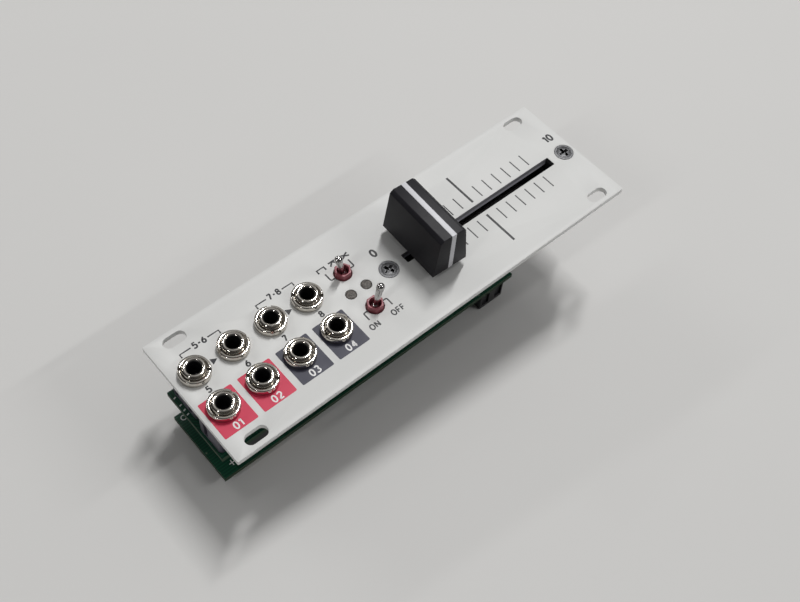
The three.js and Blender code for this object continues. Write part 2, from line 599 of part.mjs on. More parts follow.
// Fader cap: a wedge with flat ends, and a flat top whose two long edges are sloped off
function cap() {
  const wedge = (low, high, bottom, top) => {
    const corners = [];
    for (const [width, length, height] of [[...low, bottom], [...high, top]]) {
      for (const [sideX, sideY] of [[-1, -1], [1, -1], [1, 1], [-1, 1]]) {
        corners.push(sideX * width / 2, sideY * length / 2, height);
      }
    }
    const faces = [0, 2, 1, 0, 3, 2, 4, 5, 6, 4, 6, 7];
    for (let side = 0; side < 4; side += 1) {
      const next = (side + 1) % 4;
      faces.push(side, next, next + 4, side, next + 4, side + 4);
    }
    const geometry = new THREE.BufferGeometry();
    geometry.setAttribute('position', new THREE.Float32BufferAttribute(corners, 3));
    geometry.setIndex(faces);
    return solid(geometry);
  };
  const top = CAP_LIFT + CAP_HEIGHT;
  const shoulder = top - CAP_EDGE_HEIGHT;
  const body = wedge([CAP_BASE_WIDTH, CAP_BASE_LENGTH], [CAP_TOP_WIDTH, CAP_TOP_LENGTH], CAP_LIFT, shoulder);
  const rim = [CAP_TOP_WIDTH, CAP_TOP_LENGTH];
  const crown = wedge(rim, [CAP_TOP_WIDTH - 2 * CAP_EDGE_RUN, CAP_TOP_LENGTH], shoulder, top);
  const clearX = STEM_LENGTH + 2 * CAP_STEM_CLEARANCE;
  const turn = Math.abs(Math.sin(THREE.MathUtils.degToRad(CAP_TWIST_DEG)));
  const clearY = STEM_WIDTH + 2 * CAP_STEM_CLEARANCE + 2 * turn * STEM_LENGTH;
  const socket = block(0, 0, clearX, clearY, CAP_LIFT - OVERRUN, STEM_REACH + CAP_STEM_CLEARANCE);
  return cut(body.add(crown), [socket]);
}

// Boards
const headerFromMiddle = LOWER_BOARD_HEIGHT / 2 - HEADER_INSET_Y;
const headers = [
  { side: 'near', x: NEAR_HEADER_X, y: MIDDLE_Y - headerFromMiddle, pins: NEAR_HEADER_PINS },
  { side: 'far', x: FAR_HEADER_X, y: MIDDLE_Y + headerFromMiddle, pins: FAR_HEADER_PINS },
];

// The places of the pins of one two-row header
function pinPlaces({ x, y, pins }) {
  const places = [];
  for (let row = 0; row < HEADER_ROWS; row += 1) {
    for (let pin = 0; pin < pins; pin += 1) {
      places.push([x + (pin - (pins - 1) / 2) * PIN_PITCH, y + (row - (HEADER_ROWS - 1) / 2) * PIN_PITCH]);
    }
  }
  return places;
}

function headerBlock({ x, y, pins }, bottom, top) {
  return block(x, y, pins * PIN_PITCH, HEADER_ROWS * PIN_PITCH, bottom, top);
}

const pinHole = PIN_WIDTH + 2 * PIN_CLEARANCE;
const power = { x: POWER_X, y: MIDDLE_Y, pins: POWER_PINS };

// The power header runs along Y, so its pins are those of a header along X with X and Y swapped
function powerPinPlaces() {
  return pinPlaces({ x: power.y, y: power.x, pins: power.pins }).map(([along, across]) => [across, along]);
}

function upperBoard() {
  return block(BOARD_INSET + UPPER_BOARD_LENGTH / 2, MIDDLE_Y, UPPER_BOARD_LENGTH, UPPER_BOARD_HEIGHT,
    UPPER_BOARD_BACK, UPPER_BOARD_TOP);
}

function lowerBoard() {
  const board = block(BOARD_INSET + LOWER_BOARD_LENGTH / 2, MIDDLE_Y, LOWER_BOARD_LENGTH, LOWER_BOARD_HEIGHT,
    LOWER_BOARD_BACK, LOWER_BOARD_TOP);
  const places = [...headers.flatMap(pinPlaces), ...powerPinPlaces()];
  const holes = places.map(([x, y]) => block(x, y, pinHole, pinHole,
    LOWER_BOARD_BACK - OVERRUN, LOWER_BOARD_TOP + OVERRUN));
  return cut(board, holes);
}

function headerSocket(header) {
  const bottom = UPPER_BOARD_BACK - SOCKET_HEIGHT;
  const holes = pinPlaces(header).map(([x, y]) => block(x, y, pinHole, pinHole,
    bottom - OVERRUN, bottom + PIN_REACH + PIN_CLEARANCE));
  return cut(headerBlock(header, bottom, UPPER_BOARD_BACK), holes);
}

function headerPins(header) {
  const strip = headerBlock(header, LOWER_BOARD_TOP, LOWER_BOARD_TOP + INSULATOR_HEIGHT);
  const pins = pinPlaces(header).map(([x, y]) => block(x, y, PIN_WIDTH, PIN_WIDTH,
    LOWER_BOARD_BACK - PIN_TAIL, LOWER_BOARD_TOP + INSULATOR_HEIGHT + PIN_REACH));
  return joined([strip, ...pins]);
}

// Power header: a shroud with a key slot towards +X, shallow pockets in its end walls, and its pins
function powerHeader() {
  const floor = LOWER_BOARD_BACK - POWER_FLOOR;
  const shroud = block(power.x, power.y, POWER_WIDTH, POWER_LENGTH, REST_LEVEL, LOWER_BOARD_BACK);
  const mouth = block(power.x, power.y, POWER_WIDTH - 2 * POWER_WALL, POWER_LENGTH - 2 * POWER_WALL,
    REST_LEVEL - OVERRUN, floor);
  const key = block(power.x + POWER_WIDTH / 2, power.y, 3 * POWER_WALL, POWER_KEY_WIDTH,
    REST_LEVEL - OVERRUN, floor - POWER_KEY_SILL);
  const pockets = [-1, 1].flatMap((end) => [-1, 1].map((side) => {
    const x = power.x + side * (POWER_WIDTH / 2 - POWER_WALL / 2 - POWER_POCKET_WIDTH / 2);
    const y = power.y + end * POWER_LENGTH / 2;
    return block(x, y, POWER_POCKET_WIDTH, 2 * POWER_POCKET_DEPTH, REST_LEVEL + POWER_POCKET_RIM, floor);
  }));
  const pins = powerPinPlaces().map(([x, y]) => block(x, y, PIN_WIDTH, PIN_WIDTH,
    floor - POWER_PIN_REACH, LOWER_BOARD_TOP + POWER_PIN_TAIL));
  return joined([cut(shroud, [mouth, key, ...pockets]), ...pins]);
}

// Chips and capacitors
function chip(index) {
  const x = CHIP_FIRST_X + index * CHIP_PITCH;
  const y = MIDDLE_Y + (index % 2 ? 1 : -1) * CHIP_FROM_MIDDLE_Y;
  return block(x, y, CHIP_LENGTH, CHIP_WIDTH, LOWER_BOARD_BACK - CHIP_HEIGHT, LOWER_BOARD_BACK);
}

function can(side) {
  const y = MIDDLE_Y + side * CAN_SPACING / 2;
  const base = block(CAN_X, y, CAN_BASE, CAN_BASE, LOWER_BOARD_BACK - CAN_BASE_HEIGHT, LOWER_BOARD_BACK);
  const end = LOWER_BOARD_BACK - CAN_HEIGHT;
  const shell = rod(CAN_X, y, CAN_DIAMETER, end, LOWER_BOARD_BACK, SMALL_ROUND_SIDES);
  return base.add(shell);
}

// The whole module
place('panel', panel(), PAINTED_PANEL);

for (const { row, y } of jackRows) {
  for (let column = 0; column < JACK_COUNT; column += 1) {
    const number = column + 1;
    place(`jack_body_${row}_${number}`, jackBody(jackX(column), y, JACK_TURNS_DEG[row]), GREY_PLASTIC);
    place(`jack_sleeve_${row}_${number}`, jackSleeve(jackX(column), y), NICKEL);
    place(`jack_nut_${row}_${number}`, jackNut(jackX(column), y, NUT_TURNS_DEG[row][column]), NICKEL);
  }
}

for (const { row, y, lean } of toggles) {
  place(`toggle_housing_${row}`, toggleHousing(y), RED_PLASTIC);
  place(`toggle_collar_${row}`, toggleCollar(y), RED_PLASTIC);
  const pivot = new THREE.Group();
  pivot.position.set(TOGGLE_X, y, LEVER_PIVOT_RISE);
  pivot.rotation.y = THREE.MathUtils.degToRad(lean);
  module.add(pivot);
  place(`toggle_lever_${row}`, toggleLever(), STEEL, pivot);
}

for (const { side, x } of pipes) {
  place(`light_pipe_${side}`, lightPipe(x), SMOKED_PLASTIC);
}

place('fader_frame', faderFrame(), STEEL);
railPlaces.forEach((y, i) => {
  const bar = railBar(FADER_X, y, RAIL_LEVEL, RAIL_DIAMETER, RAIL_LENGTH);
  place(`fader_rail_${i ? 'far' : 'near'}`, bar, STEEL);
});
place('fader_carriage', carriage(), BLACK_PLASTIC);
place('fader_stem', stem(), STEEL);
place('fader_wiper', wiper(), GOLD_PINS);
place('fader_track_board', trackBoard(), PHENOLIC);
place('fader_riser', riser(), BLACK_PLASTIC);

const capGroup = new THREE.Group();
capGroup.position.set(STEM_X, MIDDLE_Y, 0);
capGroup.rotation.z = THREE.MathUtils.degToRad(CAP_TWIST_DEG);
module.add(capGroup);
place('fader_cap', cap(), BLACK_PLASTIC, capGroup);

for (const { side, x } of screws) {
  place(`panel_screw_${side}`, screw(x), STEEL);
}

place('upper_board', upperBoard(), BOARD_GREEN);
place('lower_board', lowerBoard(), BOARD_GREEN);
for (const header of headers) {
  place(`header_socket_${header.side}`, headerSocket(header), BLACK_PLASTIC);
  place(`header_pins_${header.side}`, headerPins(header), GOLD_PINS);
}
place('power_header', powerHeader(), BLACK_PLASTIC);

for (let index = 0; index < CHIP_COUNT; index += 1) {
  place(`chip_${index + 1}`, chip(index), BLACK_PLASTIC);
}
place('capacitor_near', can(-1), STEEL);
place('capacitor_far', can(1), STEEL);

export default module;
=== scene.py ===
# %% [markdown]
# # A crossfader module, dressed over its CAD frame
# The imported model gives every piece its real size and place. This script keeps the pieces whose
# shape is already right and gives them a finish, and builds a finer piece for each of the rest:
# the panel, jacks, switches, light pipes, screws, fader cap, headers, chips and capacitors.
# All pieces stay where the frame says, so the part fits the same after it has been dressed.

import math
import random

import bmesh
import bpy
from mathutils import Matrix, Vector


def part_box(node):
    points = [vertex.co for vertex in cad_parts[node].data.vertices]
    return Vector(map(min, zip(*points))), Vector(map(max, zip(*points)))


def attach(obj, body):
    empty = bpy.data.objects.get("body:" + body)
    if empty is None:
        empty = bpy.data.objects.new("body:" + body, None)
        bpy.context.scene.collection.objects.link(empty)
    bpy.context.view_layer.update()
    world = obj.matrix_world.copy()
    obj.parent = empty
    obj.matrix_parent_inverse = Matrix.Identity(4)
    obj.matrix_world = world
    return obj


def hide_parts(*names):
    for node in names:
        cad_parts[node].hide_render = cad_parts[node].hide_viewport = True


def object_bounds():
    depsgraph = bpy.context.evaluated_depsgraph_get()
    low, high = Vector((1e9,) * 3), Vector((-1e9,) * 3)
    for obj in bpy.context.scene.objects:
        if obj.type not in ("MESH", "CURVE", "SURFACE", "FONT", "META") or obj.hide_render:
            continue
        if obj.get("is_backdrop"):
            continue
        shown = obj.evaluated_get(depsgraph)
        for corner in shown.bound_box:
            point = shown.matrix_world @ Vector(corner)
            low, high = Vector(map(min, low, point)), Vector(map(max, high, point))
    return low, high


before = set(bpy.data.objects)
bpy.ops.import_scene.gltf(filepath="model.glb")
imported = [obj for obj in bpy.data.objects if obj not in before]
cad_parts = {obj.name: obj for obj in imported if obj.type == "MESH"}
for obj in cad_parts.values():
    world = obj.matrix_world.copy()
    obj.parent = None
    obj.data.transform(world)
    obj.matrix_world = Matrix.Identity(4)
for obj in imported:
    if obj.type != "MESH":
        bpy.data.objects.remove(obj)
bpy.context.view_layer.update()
MM = 0.001

# %% [markdown]
# The CAD nodes say where things are. Working in millimetres keeps the numbers readable, so these
# helpers give a node's corners and its middle in millimetres, in the row frame.

# %% Places from the frame


def corners(node):
    """The lowest and highest corner of a node, in millimetres"""
    low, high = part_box(node)
    return low / MM, high / MM


def middle(node):
    low, high = corners(node)
    return (low + high) / 2


PANEL_LOW, PANEL_HIGH = corners("panel")
PANEL_BACK, PANEL_TOP = PANEL_LOW.z, PANEL_HIGH.z
FADER_PLACE = middle("fader_frame")
ROWS = ("lower", "upper")
JACKS = [f"{row}_{number}" for row in ROWS for number in (1, 2, 3, 4)]
print("panel top at", round(PANEL_TOP, 2), "mm;", len(JACKS), "jacks")

# %% [markdown]
# ## The camera
# The photograph looks down on the module from its near left corner. The lens and the three axes
# were fitted to the panel's corners, slots, jacks and screws, so they are written as numbers. Data
# is only seen once an object holds it and a scene holds the object, which one helper does here for
# the camera, and later for the pieces and the lamps.

# %% Camera
CAMERA_PLACE = Vector((-115.334, -115.250, 260.150)) * MM
CAMERA_RIGHT = Vector((0.75580, -0.65248, 0.05501))
CAMERA_UP = Vector((0.52067, 0.64981, 0.55376))
CAMERA_LENS = 47.798


def in_scene(name, data):
    """An object that holds some data, linked to the scene"""
    made = bpy.data.objects.new(name, data)
    bpy.context.scene.collection.objects.link(made)
    return made


camera_data = bpy.data.cameras.new("camera")
camera_data.lens = CAMERA_LENS
camera_data.sensor_width = 36
camera_data.clip_start = 0.01
camera = in_scene("camera", camera_data)
camera_axes = Matrix((CAMERA_RIGHT, CAMERA_UP, CAMERA_RIGHT.cross(CAMERA_UP))).transposed()
camera.matrix_world = Matrix.Translation(CAMERA_PLACE) @ camera_axes.to_4x4()
bpy.context.scene.camera = camera
print("camera", round((CAMERA_PLACE - middle("panel") * MM).length / MM), "mm from the panel")

# %% [markdown]
# ## Writing materials as sums
# A pattern is easier to read as a sum than as a tangle of nodes. `Wire` wraps a socket, and each
# operator adds one Math node, so that `1 - mask` or `grain * 0.12` can be written as they are.

# %% Sums of sockets


class Wire:
    """A socket that takes part in sums"""

    def __init__(self, finish, socket):
        self.finish = finish
        self.socket = socket

    def sum(self, operation, *others):
        settings = {"operation": operation}
        return self.finish.node("ShaderNodeMath", settings, dict(enumerate((self, *others))))

    def __add__(self, other):
        return self.sum("ADD", other)

    def __sub__(self, other):
        return self.sum("SUBTRACT", other)

    def __rsub__(self, other):
        return self.finish.node("ShaderNodeMath", {"operation": "SUBTRACT"}, {0: other, 1: self})

    def __mul__(self, other):
        return self.sum("MULTIPLY", other)

    def __gt__(self, other):
        return self.sum("GREATER_THAN", other)

    def __lt__(self, other):
        return self.sum("LESS_THAN", other)

    def __abs__(self):
        return self.sum("ABSOLUTE")

    __radd__ = __add__


# %% [markdown]
# `Finish` is a material. Its `node` method adds any other node from its type, its settings, and
# what goes into its sockets, and the rest of its methods are the few nodes that every finish needs.
# `FINISHES` keeps each finish by its name, so a piece can ask for it in plain words.

# %% Finishes made of nodes
FINISHES = {}


class Finish:
    """The nodes of a material, or of the world"""

    def __init__(self, name, world=False):
        self.name = name
        self.holder = (bpy.data.worlds if world else bpy.data.materials).new(name)
        self.holder.use_nodes = True
        self.tree = self.holder.node_tree
        self.tree.nodes.clear()
        coordinates = "Generated" if world else "Object"
        self.place = self.node("ShaderNodeTexCoord", output=coordinates)

    def feed(self, socket, value):
        if isinstance(value, Wire):
            self.tree.links.new(value.socket, socket)
        else:
            socket.default_value = value

    def node(self, kind, settings=None, sockets=None, output=0):
        """Any node: its settings first, then the values or links of its sockets"""
        made = self.tree.nodes.new(kind)
        for setting, value in (settings or {}).items():
            if setting == "stops":
                stops = made.color_ramp.elements
                while len(stops) < len(value):
                    stops.new(1.0)
                for stop, (position, colour) in zip(stops, value):
                    stop.position, stop.color = position, colour
            else:
                setattr(made, setting, value)
        for socket, value in (sockets or {}).items():
            self.feed(made.inputs[socket], value)
        return Wire(self, made.outputs[output]) if made.outputs else None

    def axes(self):
        """The three Object coordinates, in millimetres"""
        split = self.node("ShaderNodeSeparateXYZ", {}, {0: self.place}).socket.node
        return [Wire(self, output) * (1 / MM) for output in split.outputs]

    def noise(self, size, detail=2.0, roughness=0.5, place=None):
        """Soft random variation, with features about `size` millimetres across"""
        sockets = {"Vector": place or self.place, "Scale": 1 / (size * MM), "Detail": detail}
        sockets["Roughness"] = roughness
        return self.node("ShaderNodeTexNoise", {}, sockets)

    def stretched(self, x, y, z):
        """Object coordinates scaled along each axis, for grain that runs one way"""
        return self.node("ShaderNodeMapping", {}, {"Vector": self.place, "Scale": (x, y, z)})

    def between(self, value, low, high):
        """0 where the value is under `low`, 1 over `high`, and a smooth step in between"""
        settings = {"interpolation_type": "SMOOTHSTEP"}
        return self.node("ShaderNodeMapRange", settings, {0: value, 1: low, 2: high})

    def mix(self, share, first, second):
        """From the first colour to the second by a share"""
        settings = {"data_type": "RGBA"}
        return self.node("ShaderNodeMix", settings, {0: share, 6: first, 7: second}, output=2)

    def surface(self, colour, roughness, metallic=0.0, relief=None, depth=0.0, **constants):
        """The shader and the output; relief is a height from 0 to 1, depth its size in mm"""
        shader = self.tree.nodes.new("ShaderNodeBsdfPrincipled")
        output = self.tree.nodes.new("ShaderNodeOutputMaterial")
        self.tree.links.new(shader.outputs[0], output.inputs[0])
        self.feed(shader.inputs["Base Color"], colour)
        self.feed(shader.inputs["Roughness"], roughness)
        self.feed(shader.inputs["Metallic"], metallic)
        if relief is not None:
            sockets = {"Height": relief, "Distance": depth * MM}
            self.feed(shader.inputs["Normal"], self.node("ShaderNodeBump", {}, sockets))
        for socket, value in constants.items():
            shader.inputs[socket.replace("_", " ")].default_value = value
        FINISHES[self.name] = self.holder


def shade(red, green, blue):
    """A colour as seen on a screen, 0 to 255, turned into the linear light a shader takes"""
    screen = [part / 255 for part in (red, green, blue)]
    linear = [s / 12.92 if s <= 0.04045 else ((s + 0.055) / 1.055) ** 2.4 for s in screen]
    return (*linear, 1.0)


# %% [markdown]
# ## The finishes
# The panel is aluminium with a satin white coat: nearly even, with a fine grain that only shows in
# the gloss. Its cut edges and its back are bare metal. The walls of the fader's slot are painted a
# darker grey as the shade in the slot, with painted deeper shade at both ends. Height tells the
# coat from the metal, because only the top face reaches the panel's top.

# %% White panel coat
COAT_DEPTH = 0.13
SLOT_HALF_WIDTH, SLOT_HALF_LENGTH, SLOT_END = 1.6, 27.7, 0.5


def painted_panel():
    finish = Finish("painted_panel")
    x, y, z = finish.axes()
    grain = finish.noise(0.22)
    coat = finish.mix(finish.noise(14, 3), shade(206, 206, 204), shade(200, 200, 198))
    coat = finish.mix(finish.between(grain, 0.62, 0.8) * 0.25, coat, shade(190, 190, 188))
    milling = finish.noise(0.35, place=finish.stretched(0.2, 0.2, 4))
    cut_edge = finish.mix(milling, shade(214, 214, 213), shade(236, 236, 234))
    back_face = finish.mix(milling, shade(166, 167, 169), shade(188, 188, 190))
    back = z < PANEL_BACK + 0.05
    along_slot = abs(x - FADER_PLACE.x)
    in_slot = (along_slot < SLOT_HALF_LENGTH) * (abs(y) < SLOT_HALF_WIDTH)
    # The slot's walls are painted darker than the other cut edges, as the shade in the slot, and darker
    # still at both ends
    slot_end = along_slot > SLOT_HALF_LENGTH - SLOT_END
    shaded_slot_wall = finish.mix(slot_end, shade(150, 149, 154), shade(60, 60, 62))
    metal = finish.mix(in_slot, finish.mix(back, cut_edge, back_face), shaded_slot_wall)
    edge = 1 - finish.between(z, PANEL_TOP - COAT_DEPTH, PANEL_TOP - COAT_DEPTH / 3)
    bare = edge * (1 - in_slot)
    finish.surface(
        finish.mix(edge, coat, metal),
        0.46 + grain * 0.12 - bare * 0.12,
        bare * (0.06 + back * 0.7),
        relief=grain,
        depth=0.006,
        Specular_IOR_Level=0.45,
    )


painted_panel()
print("panel coat", COAT_DEPTH, "mm deep at the edges")

# %% [markdown]
# Screen-printed ink lies on the coat as a thin film. It is slightly uneven in tone and gloss, more
# so than the coat, and each colour is the same recipe with its own pair of tones.

# %% Printing inks


def ink(name, tone, worn):
    finish = Finish(name)
    patches = finish.noise(3.0, 4)
    colour = finish.mix(patches, shade(*tone), shade(*worn))
    finish.surface(
        colour,
        0.42 + patches * 0.16,
        relief=finish.noise(0.12, 1),
        depth=0.004,
        Specular_IOR_Level=0.4,
    )


ink("dark_ink", (26, 26, 30), (40, 40, 44))
ink("red_ink", (200, 40, 74), (190, 36, 70))
ink("slate_ink", (52, 52, 68), (45, 45, 60))
ink("white_ink", (226, 225, 224), (214, 213, 212))
print("four inks")

# %% [markdown]
# Plated metal is what gives a panel its sparkle. The colour stays nearly even; what changes is the
# gloss, in soft patches where fingers and tools have touched it, and fine scratches in the relief.

# %% Plated metals


def plated(name, tone, dulled, rough, patch=1.2):
    finish = Finish(name)
    patches = finish.noise(patch, 4)
    scratches = finish.noise(0.05, place=finish.stretched(1, 1, 6))
    colour = finish.mix(finish.between(patches, 0.35, 0.75), shade(*tone), shade(*dulled))
    roughness = rough + patches * 0.04 + scratches * 0.02
    finish.surface(colour, roughness, 1.0, relief=scratches, depth=0.00015)


plated("nickel", (206, 201, 193), (190, 184, 175), 0.08)
plated("lever_metal", (190, 188, 187), (166, 164, 163), 0.06, patch=0.8)
plated("screw_steel", (90, 90, 91), (72, 72, 74), 0.44, patch=0.6)
plated("rail_steel", (190, 190, 192), (160, 160, 164), 0.15)
plated("pin_gold", (214, 180, 98), (186, 150, 78), 0.18, patch=0.7)
plated("solder", (196, 196, 196), (150, 150, 152), 0.24, patch=0.4)
plated("can_metal", (198, 198, 200), (170, 170, 174), 0.24, patch=2.0)
print("seven metals")

# %% [markdown]
# Moulded plastic has a satin skin from the mould: a fine, even grain in the relief, a little
# unevenness in the gloss, and paler scuffs where it is handled. The fader cap has a coarser grain
# and less sheen than the rest, because it is made to be gripped.

# %% Moulded plastics


def moulded(name, tone, scuffed, rough, grain_size=0.12, depth=0.008, scuffs=0.3, sheen=0.5):
    finish = Finish(name)
    tone, scuffed = shade(*tone), shade(*scuffed)
    flow = finish.noise(5.0, 3)
    wear = finish.between(finish.noise(1.6, 5, 0.65), 0.58, 0.75)
    colour = finish.mix(wear * scuffs, finish.mix(flow * 0.5, tone, scuffed), scuffed)
    finish.surface(
        colour,
        rough + flow * 0.12 + wear * 0.06,
        relief=finish.noise(grain_size),
        depth=depth,
        Specular_IOR_Level=sheen,
    )


moulded("red_plastic", (140, 66, 76), (156, 84, 92), 0.34)
moulded("jack_plastic", (74, 70, 82), (92, 88, 101), 0.32)
# For the sleeves' metal bores: painted near black, as the shade down the hole
moulded("painted_bore_shade", (10, 10, 11), (18, 18, 19), 0.5)
moulded("header_black", (28, 28, 31), (44, 44, 48), 0.4)
moulded("chip_black", (34, 34, 37), (52, 52, 56), 0.5, grain_size=0.08)
grip = {"grain_size": 0.16, "depth": 0.006, "scuffs": 0.15, "sheen": 0.22}
moulded("cap_plastic", (19, 18, 23), (29, 28, 34), 0.42, **grip)
moulded("line_plastic", (206, 206, 210), (186, 186, 190), 0.4)
moulded("resistor_body", (24, 24, 26), (40, 40, 42), 0.35)
moulded("ceramic_body", (150, 122, 88), (128, 102, 72), 0.5)
moulded("track_board", (40, 37, 36), (58, 54, 52), 0.6, grain_size=0.2)
print("ten plastics")

# %% [markdown]
# A circuit board is glass fibre under a green mask. Copper tracks stand up under the mask as
# paler ridges, and tinned dots mark where they pass through; the middle of each dot is painted
# dark, as the shade down its hole. The cut edge shows the pale fibre. The tracks are bundles of
# stripes; large random cells choose which way each bundle runs.

# %% Circuit board
TRACK_PITCH, CELL_SIZE, HOLE_PITCH = 0.8, 7.0, 3.1


def cells(finish, size, output=0, **settings):
    """Random cells: output 0 is how far their middles are, output 1 a colour for each"""
    sockets = {"Vector": finish.place, "Scale": 1 / (size * MM)}
    return finish.node("ShaderNodeTexVoronoi", settings, sockets, output)


def circuit_board():
    finish = Finish("circuit_board")
    x, y, z = finish.axes()
    bundle = cells(finish, CELL_SIZE, 1, feature="F1", distance="CHEBYCHEV")
    choice = finish.node("ShaderNodeSeparateColor", {}, {0: bundle})
    stripes = []
    for across in (x, y, (x + y) * 0.7071):
        wave = (across * (2 * math.pi / TRACK_PITCH)).sum("SINE")
        stripes.append(finish.between(wave, 0.35, 0.6))
    second = (choice > 0.36) * (choice < 0.72)
    tracks = stripes[0] * (choice < 0.36) + stripes[1] * second + stripes[2] * (choice > 0.86)
    dots = cells(finish, HOLE_PITCH)
    ring = 1 - finish.between(dots, 0.09, 0.11)
    hole = 1 - finish.between(dots, 0.04, 0.055)
    weave = finish.noise(0.5)
    mask = finish.mix(tracks, shade(12, 58, 42), shade(22, 82, 58))
    mask = finish.mix(weave * 0.35, mask, shade(10, 46, 33))
    mask = finish.mix(ring, mask, shade(98, 112, 96))
    # The middle of each dot is painted dark, as the shade down its hole
    mask = finish.mix(hole, mask, shade(14, 20, 16))
    facing = finish.node("ShaderNodeTexCoord", output="Normal")
    upright = abs(finish.node("ShaderNodeSeparateXYZ", {}, {0: facing}, output=2))
    edge = 1 - finish.between(upright, 0.4, 0.6)
    fibre = finish.noise(0.3, 3, place=finish.stretched(0.15, 0.15, 3))
    laminate = finish.mix(fibre, shade(26, 50, 36), shade(52, 70, 48))
    finish.surface(
        finish.mix(edge, mask, laminate),
        0.34 + weave * 0.12 + edge * 0.35,
        relief=tracks * 0.6 + ring * 0.4,
        depth=0.015,
        Specular_IOR_Level=0.4,
    )


circuit_board()
print("board with tracks every", TRACK_PITCH, "mm")

# %% [markdown]
# The light pipes are smoked plastic: a diffuser with specks in it, darker in a ring at the rim.
# Two of them have to share a material, so the ring is measured from the nearer of both middles.

# %% Light pipes
PIPES = {node: middle(node) for node in ("light_pipe_left", "light_pipe_right")}


def smoked_plastic():
    finish = Finish("smoked_plastic")
    x, y, z = finish.axes()
    left, right = PIPES.values()
    from_x = abs(x - (left.x + right.x) / 2) - (right.x - left.x) / 2
    from_y = y - left.y
    reach = (from_x * from_x + from_y * from_y).sum("SQRT")
    rim = finish.between(reach, 1.1, 1.38)
    flecks = finish.between(finish.noise(0.35, 3, 0.6), 0.42, 0.66)
    body = finish.mix(flecks, shade(70, 66, 62), shade(116, 111, 106))
    colour = finish.mix(rim * 0.3, body, shade(70, 67, 63))
    roughness = 0.45 + flecks * 0.1
    finish.surface(colour, roughness, relief=flecks, depth=0.01, Specular_IOR_Level=0.2)


smoked_plastic()
print("smoked plastic for", len(PIPES), "pipes")

# %% [markdown]
# The fader's channel is zinc-plated steel outside. Inside, where the stroke runs, it is painted
# black: partly the black parts of a real fader, partly painted shade. Under the panel's slot the
# upper part of its walls gets a painted highlight, a pale strip where the light comes in.

# %% Fader channel
CHANNEL_HALF_WIDTH, CHANNEL_HALF_LENGTH = 5.2, 30.6
CHANNEL_SKIN, LIT_DEPTH = 0.3, 0.95


def channel_steel():
    finish = Finish("channel_steel")
    x, y, z = finish.axes()
    top = corners("fader_frame")[1].z
    along, across = abs(x - FADER_PLACE.x), abs(y)
    inside = (across < CHANNEL_HALF_WIDTH) * (along < CHANNEL_HALF_LENGTH) * (z < top - CHANNEL_SKIN)
    under_slot = (across < SLOT_HALF_WIDTH) * (along < SLOT_HALF_LENGTH)
    # Painted highlight: a pale strip high on the walls under the panel's slot
    lit_wall = under_slot * (z > top - LIT_DEPTH) * (along < SLOT_HALF_LENGTH - SLOT_END)
    # Painted black inside: partly the black parts of a real fader, partly painted shade
    dark = inside.sum("MAXIMUM", under_slot)
    rolled = finish.noise(0.25, place=finish.stretched(0.1, 1, 1))
    metal = finish.mix(finish.noise(2.2, 5, 0.6), shade(168, 170, 174), shade(132, 134, 140))
    colour = finish.mix(dark, metal, shade(16, 16, 18))
    colour = finish.mix(lit_wall, colour, shade(196, 196, 204))
    roughness = 0.3 + rolled * 0.2 + dark * 0.3
    finish.surface(colour, roughness, (1 - dark) * 0.95, relief=rolled, depth=0.004)


channel_steel()
print(len(FINISHES), "finishes")

# %% [markdown]
# ## Building pieces
# A piece is drawn in millimetres in a bmesh, where it belongs, and `finished` turns it into an
# object: it scales it to metres, turns its faces outwards, smooths it but for its sharp edges,
# hands it its finishes, parents it to the body it rides on and hides the CAD node it stands for.

# %% From a bmesh to a piece
SHARP_ANGLE = math.radians(32)


def as_object(name, form):
    mesh = bpy.data.meshes.new(name)
    form.to_mesh(mesh)
    form.free()
    return in_scene(name, mesh)


def finished(name, form, finishes, body="module", stands_for=None):
    bmesh.ops.scale(form, vec=(MM, MM, MM), verts=form.verts)
    bmesh.ops.recalc_face_normals(form, faces=form.faces)
    made = as_object(name, form)
    made.data.shade_smooth()
    made.data.set_sharp_from_angle(angle=SHARP_ANGLE)
    for finish in finishes:
        made.data.materials.append(FINISHES[finish])
    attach(made, body)
    if stands_for:
        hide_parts(stands_for)
    return made


# %% [markdown]
# Most small parts are blocks, turned shapes or plates. A block is a cube with its edges broken; a
# turned shape is a profile spun about Z; a plate is an outline with holes, filled and thickened.

# %% Blocks, turned shapes and plates


def block(form, start, end, edge=0.0, segments=2, finish=0):
    """A block between two opposite corners, given in any order; gives back its six faces"""
    low = Vector([min(pair) for pair in zip(start, end)])
    high = Vector([max(pair) for pair in zip(start, end)])
    place = Matrix.Translation((low + high) / 2) @ Matrix.Diagonal((*(high - low), 1))
    verts = bmesh.ops.create_cube(form, size=1, matrix=place)["verts"]
    faces = {face for vert in verts for face in vert.link_faces}
    for face in faces:
        face.material_index = finish
    if edge:
        edges = list({line for vert in verts for line in vert.link_edges})
        settings = {"segments": segments, "profile": 0.5, "affect": "EDGES", "material": -1}
        bmesh.ops.bevel(form, geom=edges, offset=edge, **settings)
    return faces


def turned(form, place, profile, steps=48, finish=0):
    """Spins (radius, height) points about the upright axis through a place"""
    x, y = place
    points = [form.verts.new((x + radius, y, height)) for radius, height in profile]
    lines = [form.edges.new(pair) for pair in zip(points, points[1:])]
    settings = {"axis": (0, 0, 1), "cent": (x, y, 0), "angle": 2 * math.pi, "steps": steps}
    before = set(form.faces)
    bmesh.ops.spin(form, geom=points + lines, use_merge=True, **settings)
    new = [face for face in form.faces if face not in before]
    for face in new:
        face.material_index = finish
    verts = list({vert for face in new for vert in face.verts})
    bmesh.ops.remove_doubles(form, verts=verts, dist=1e-4)


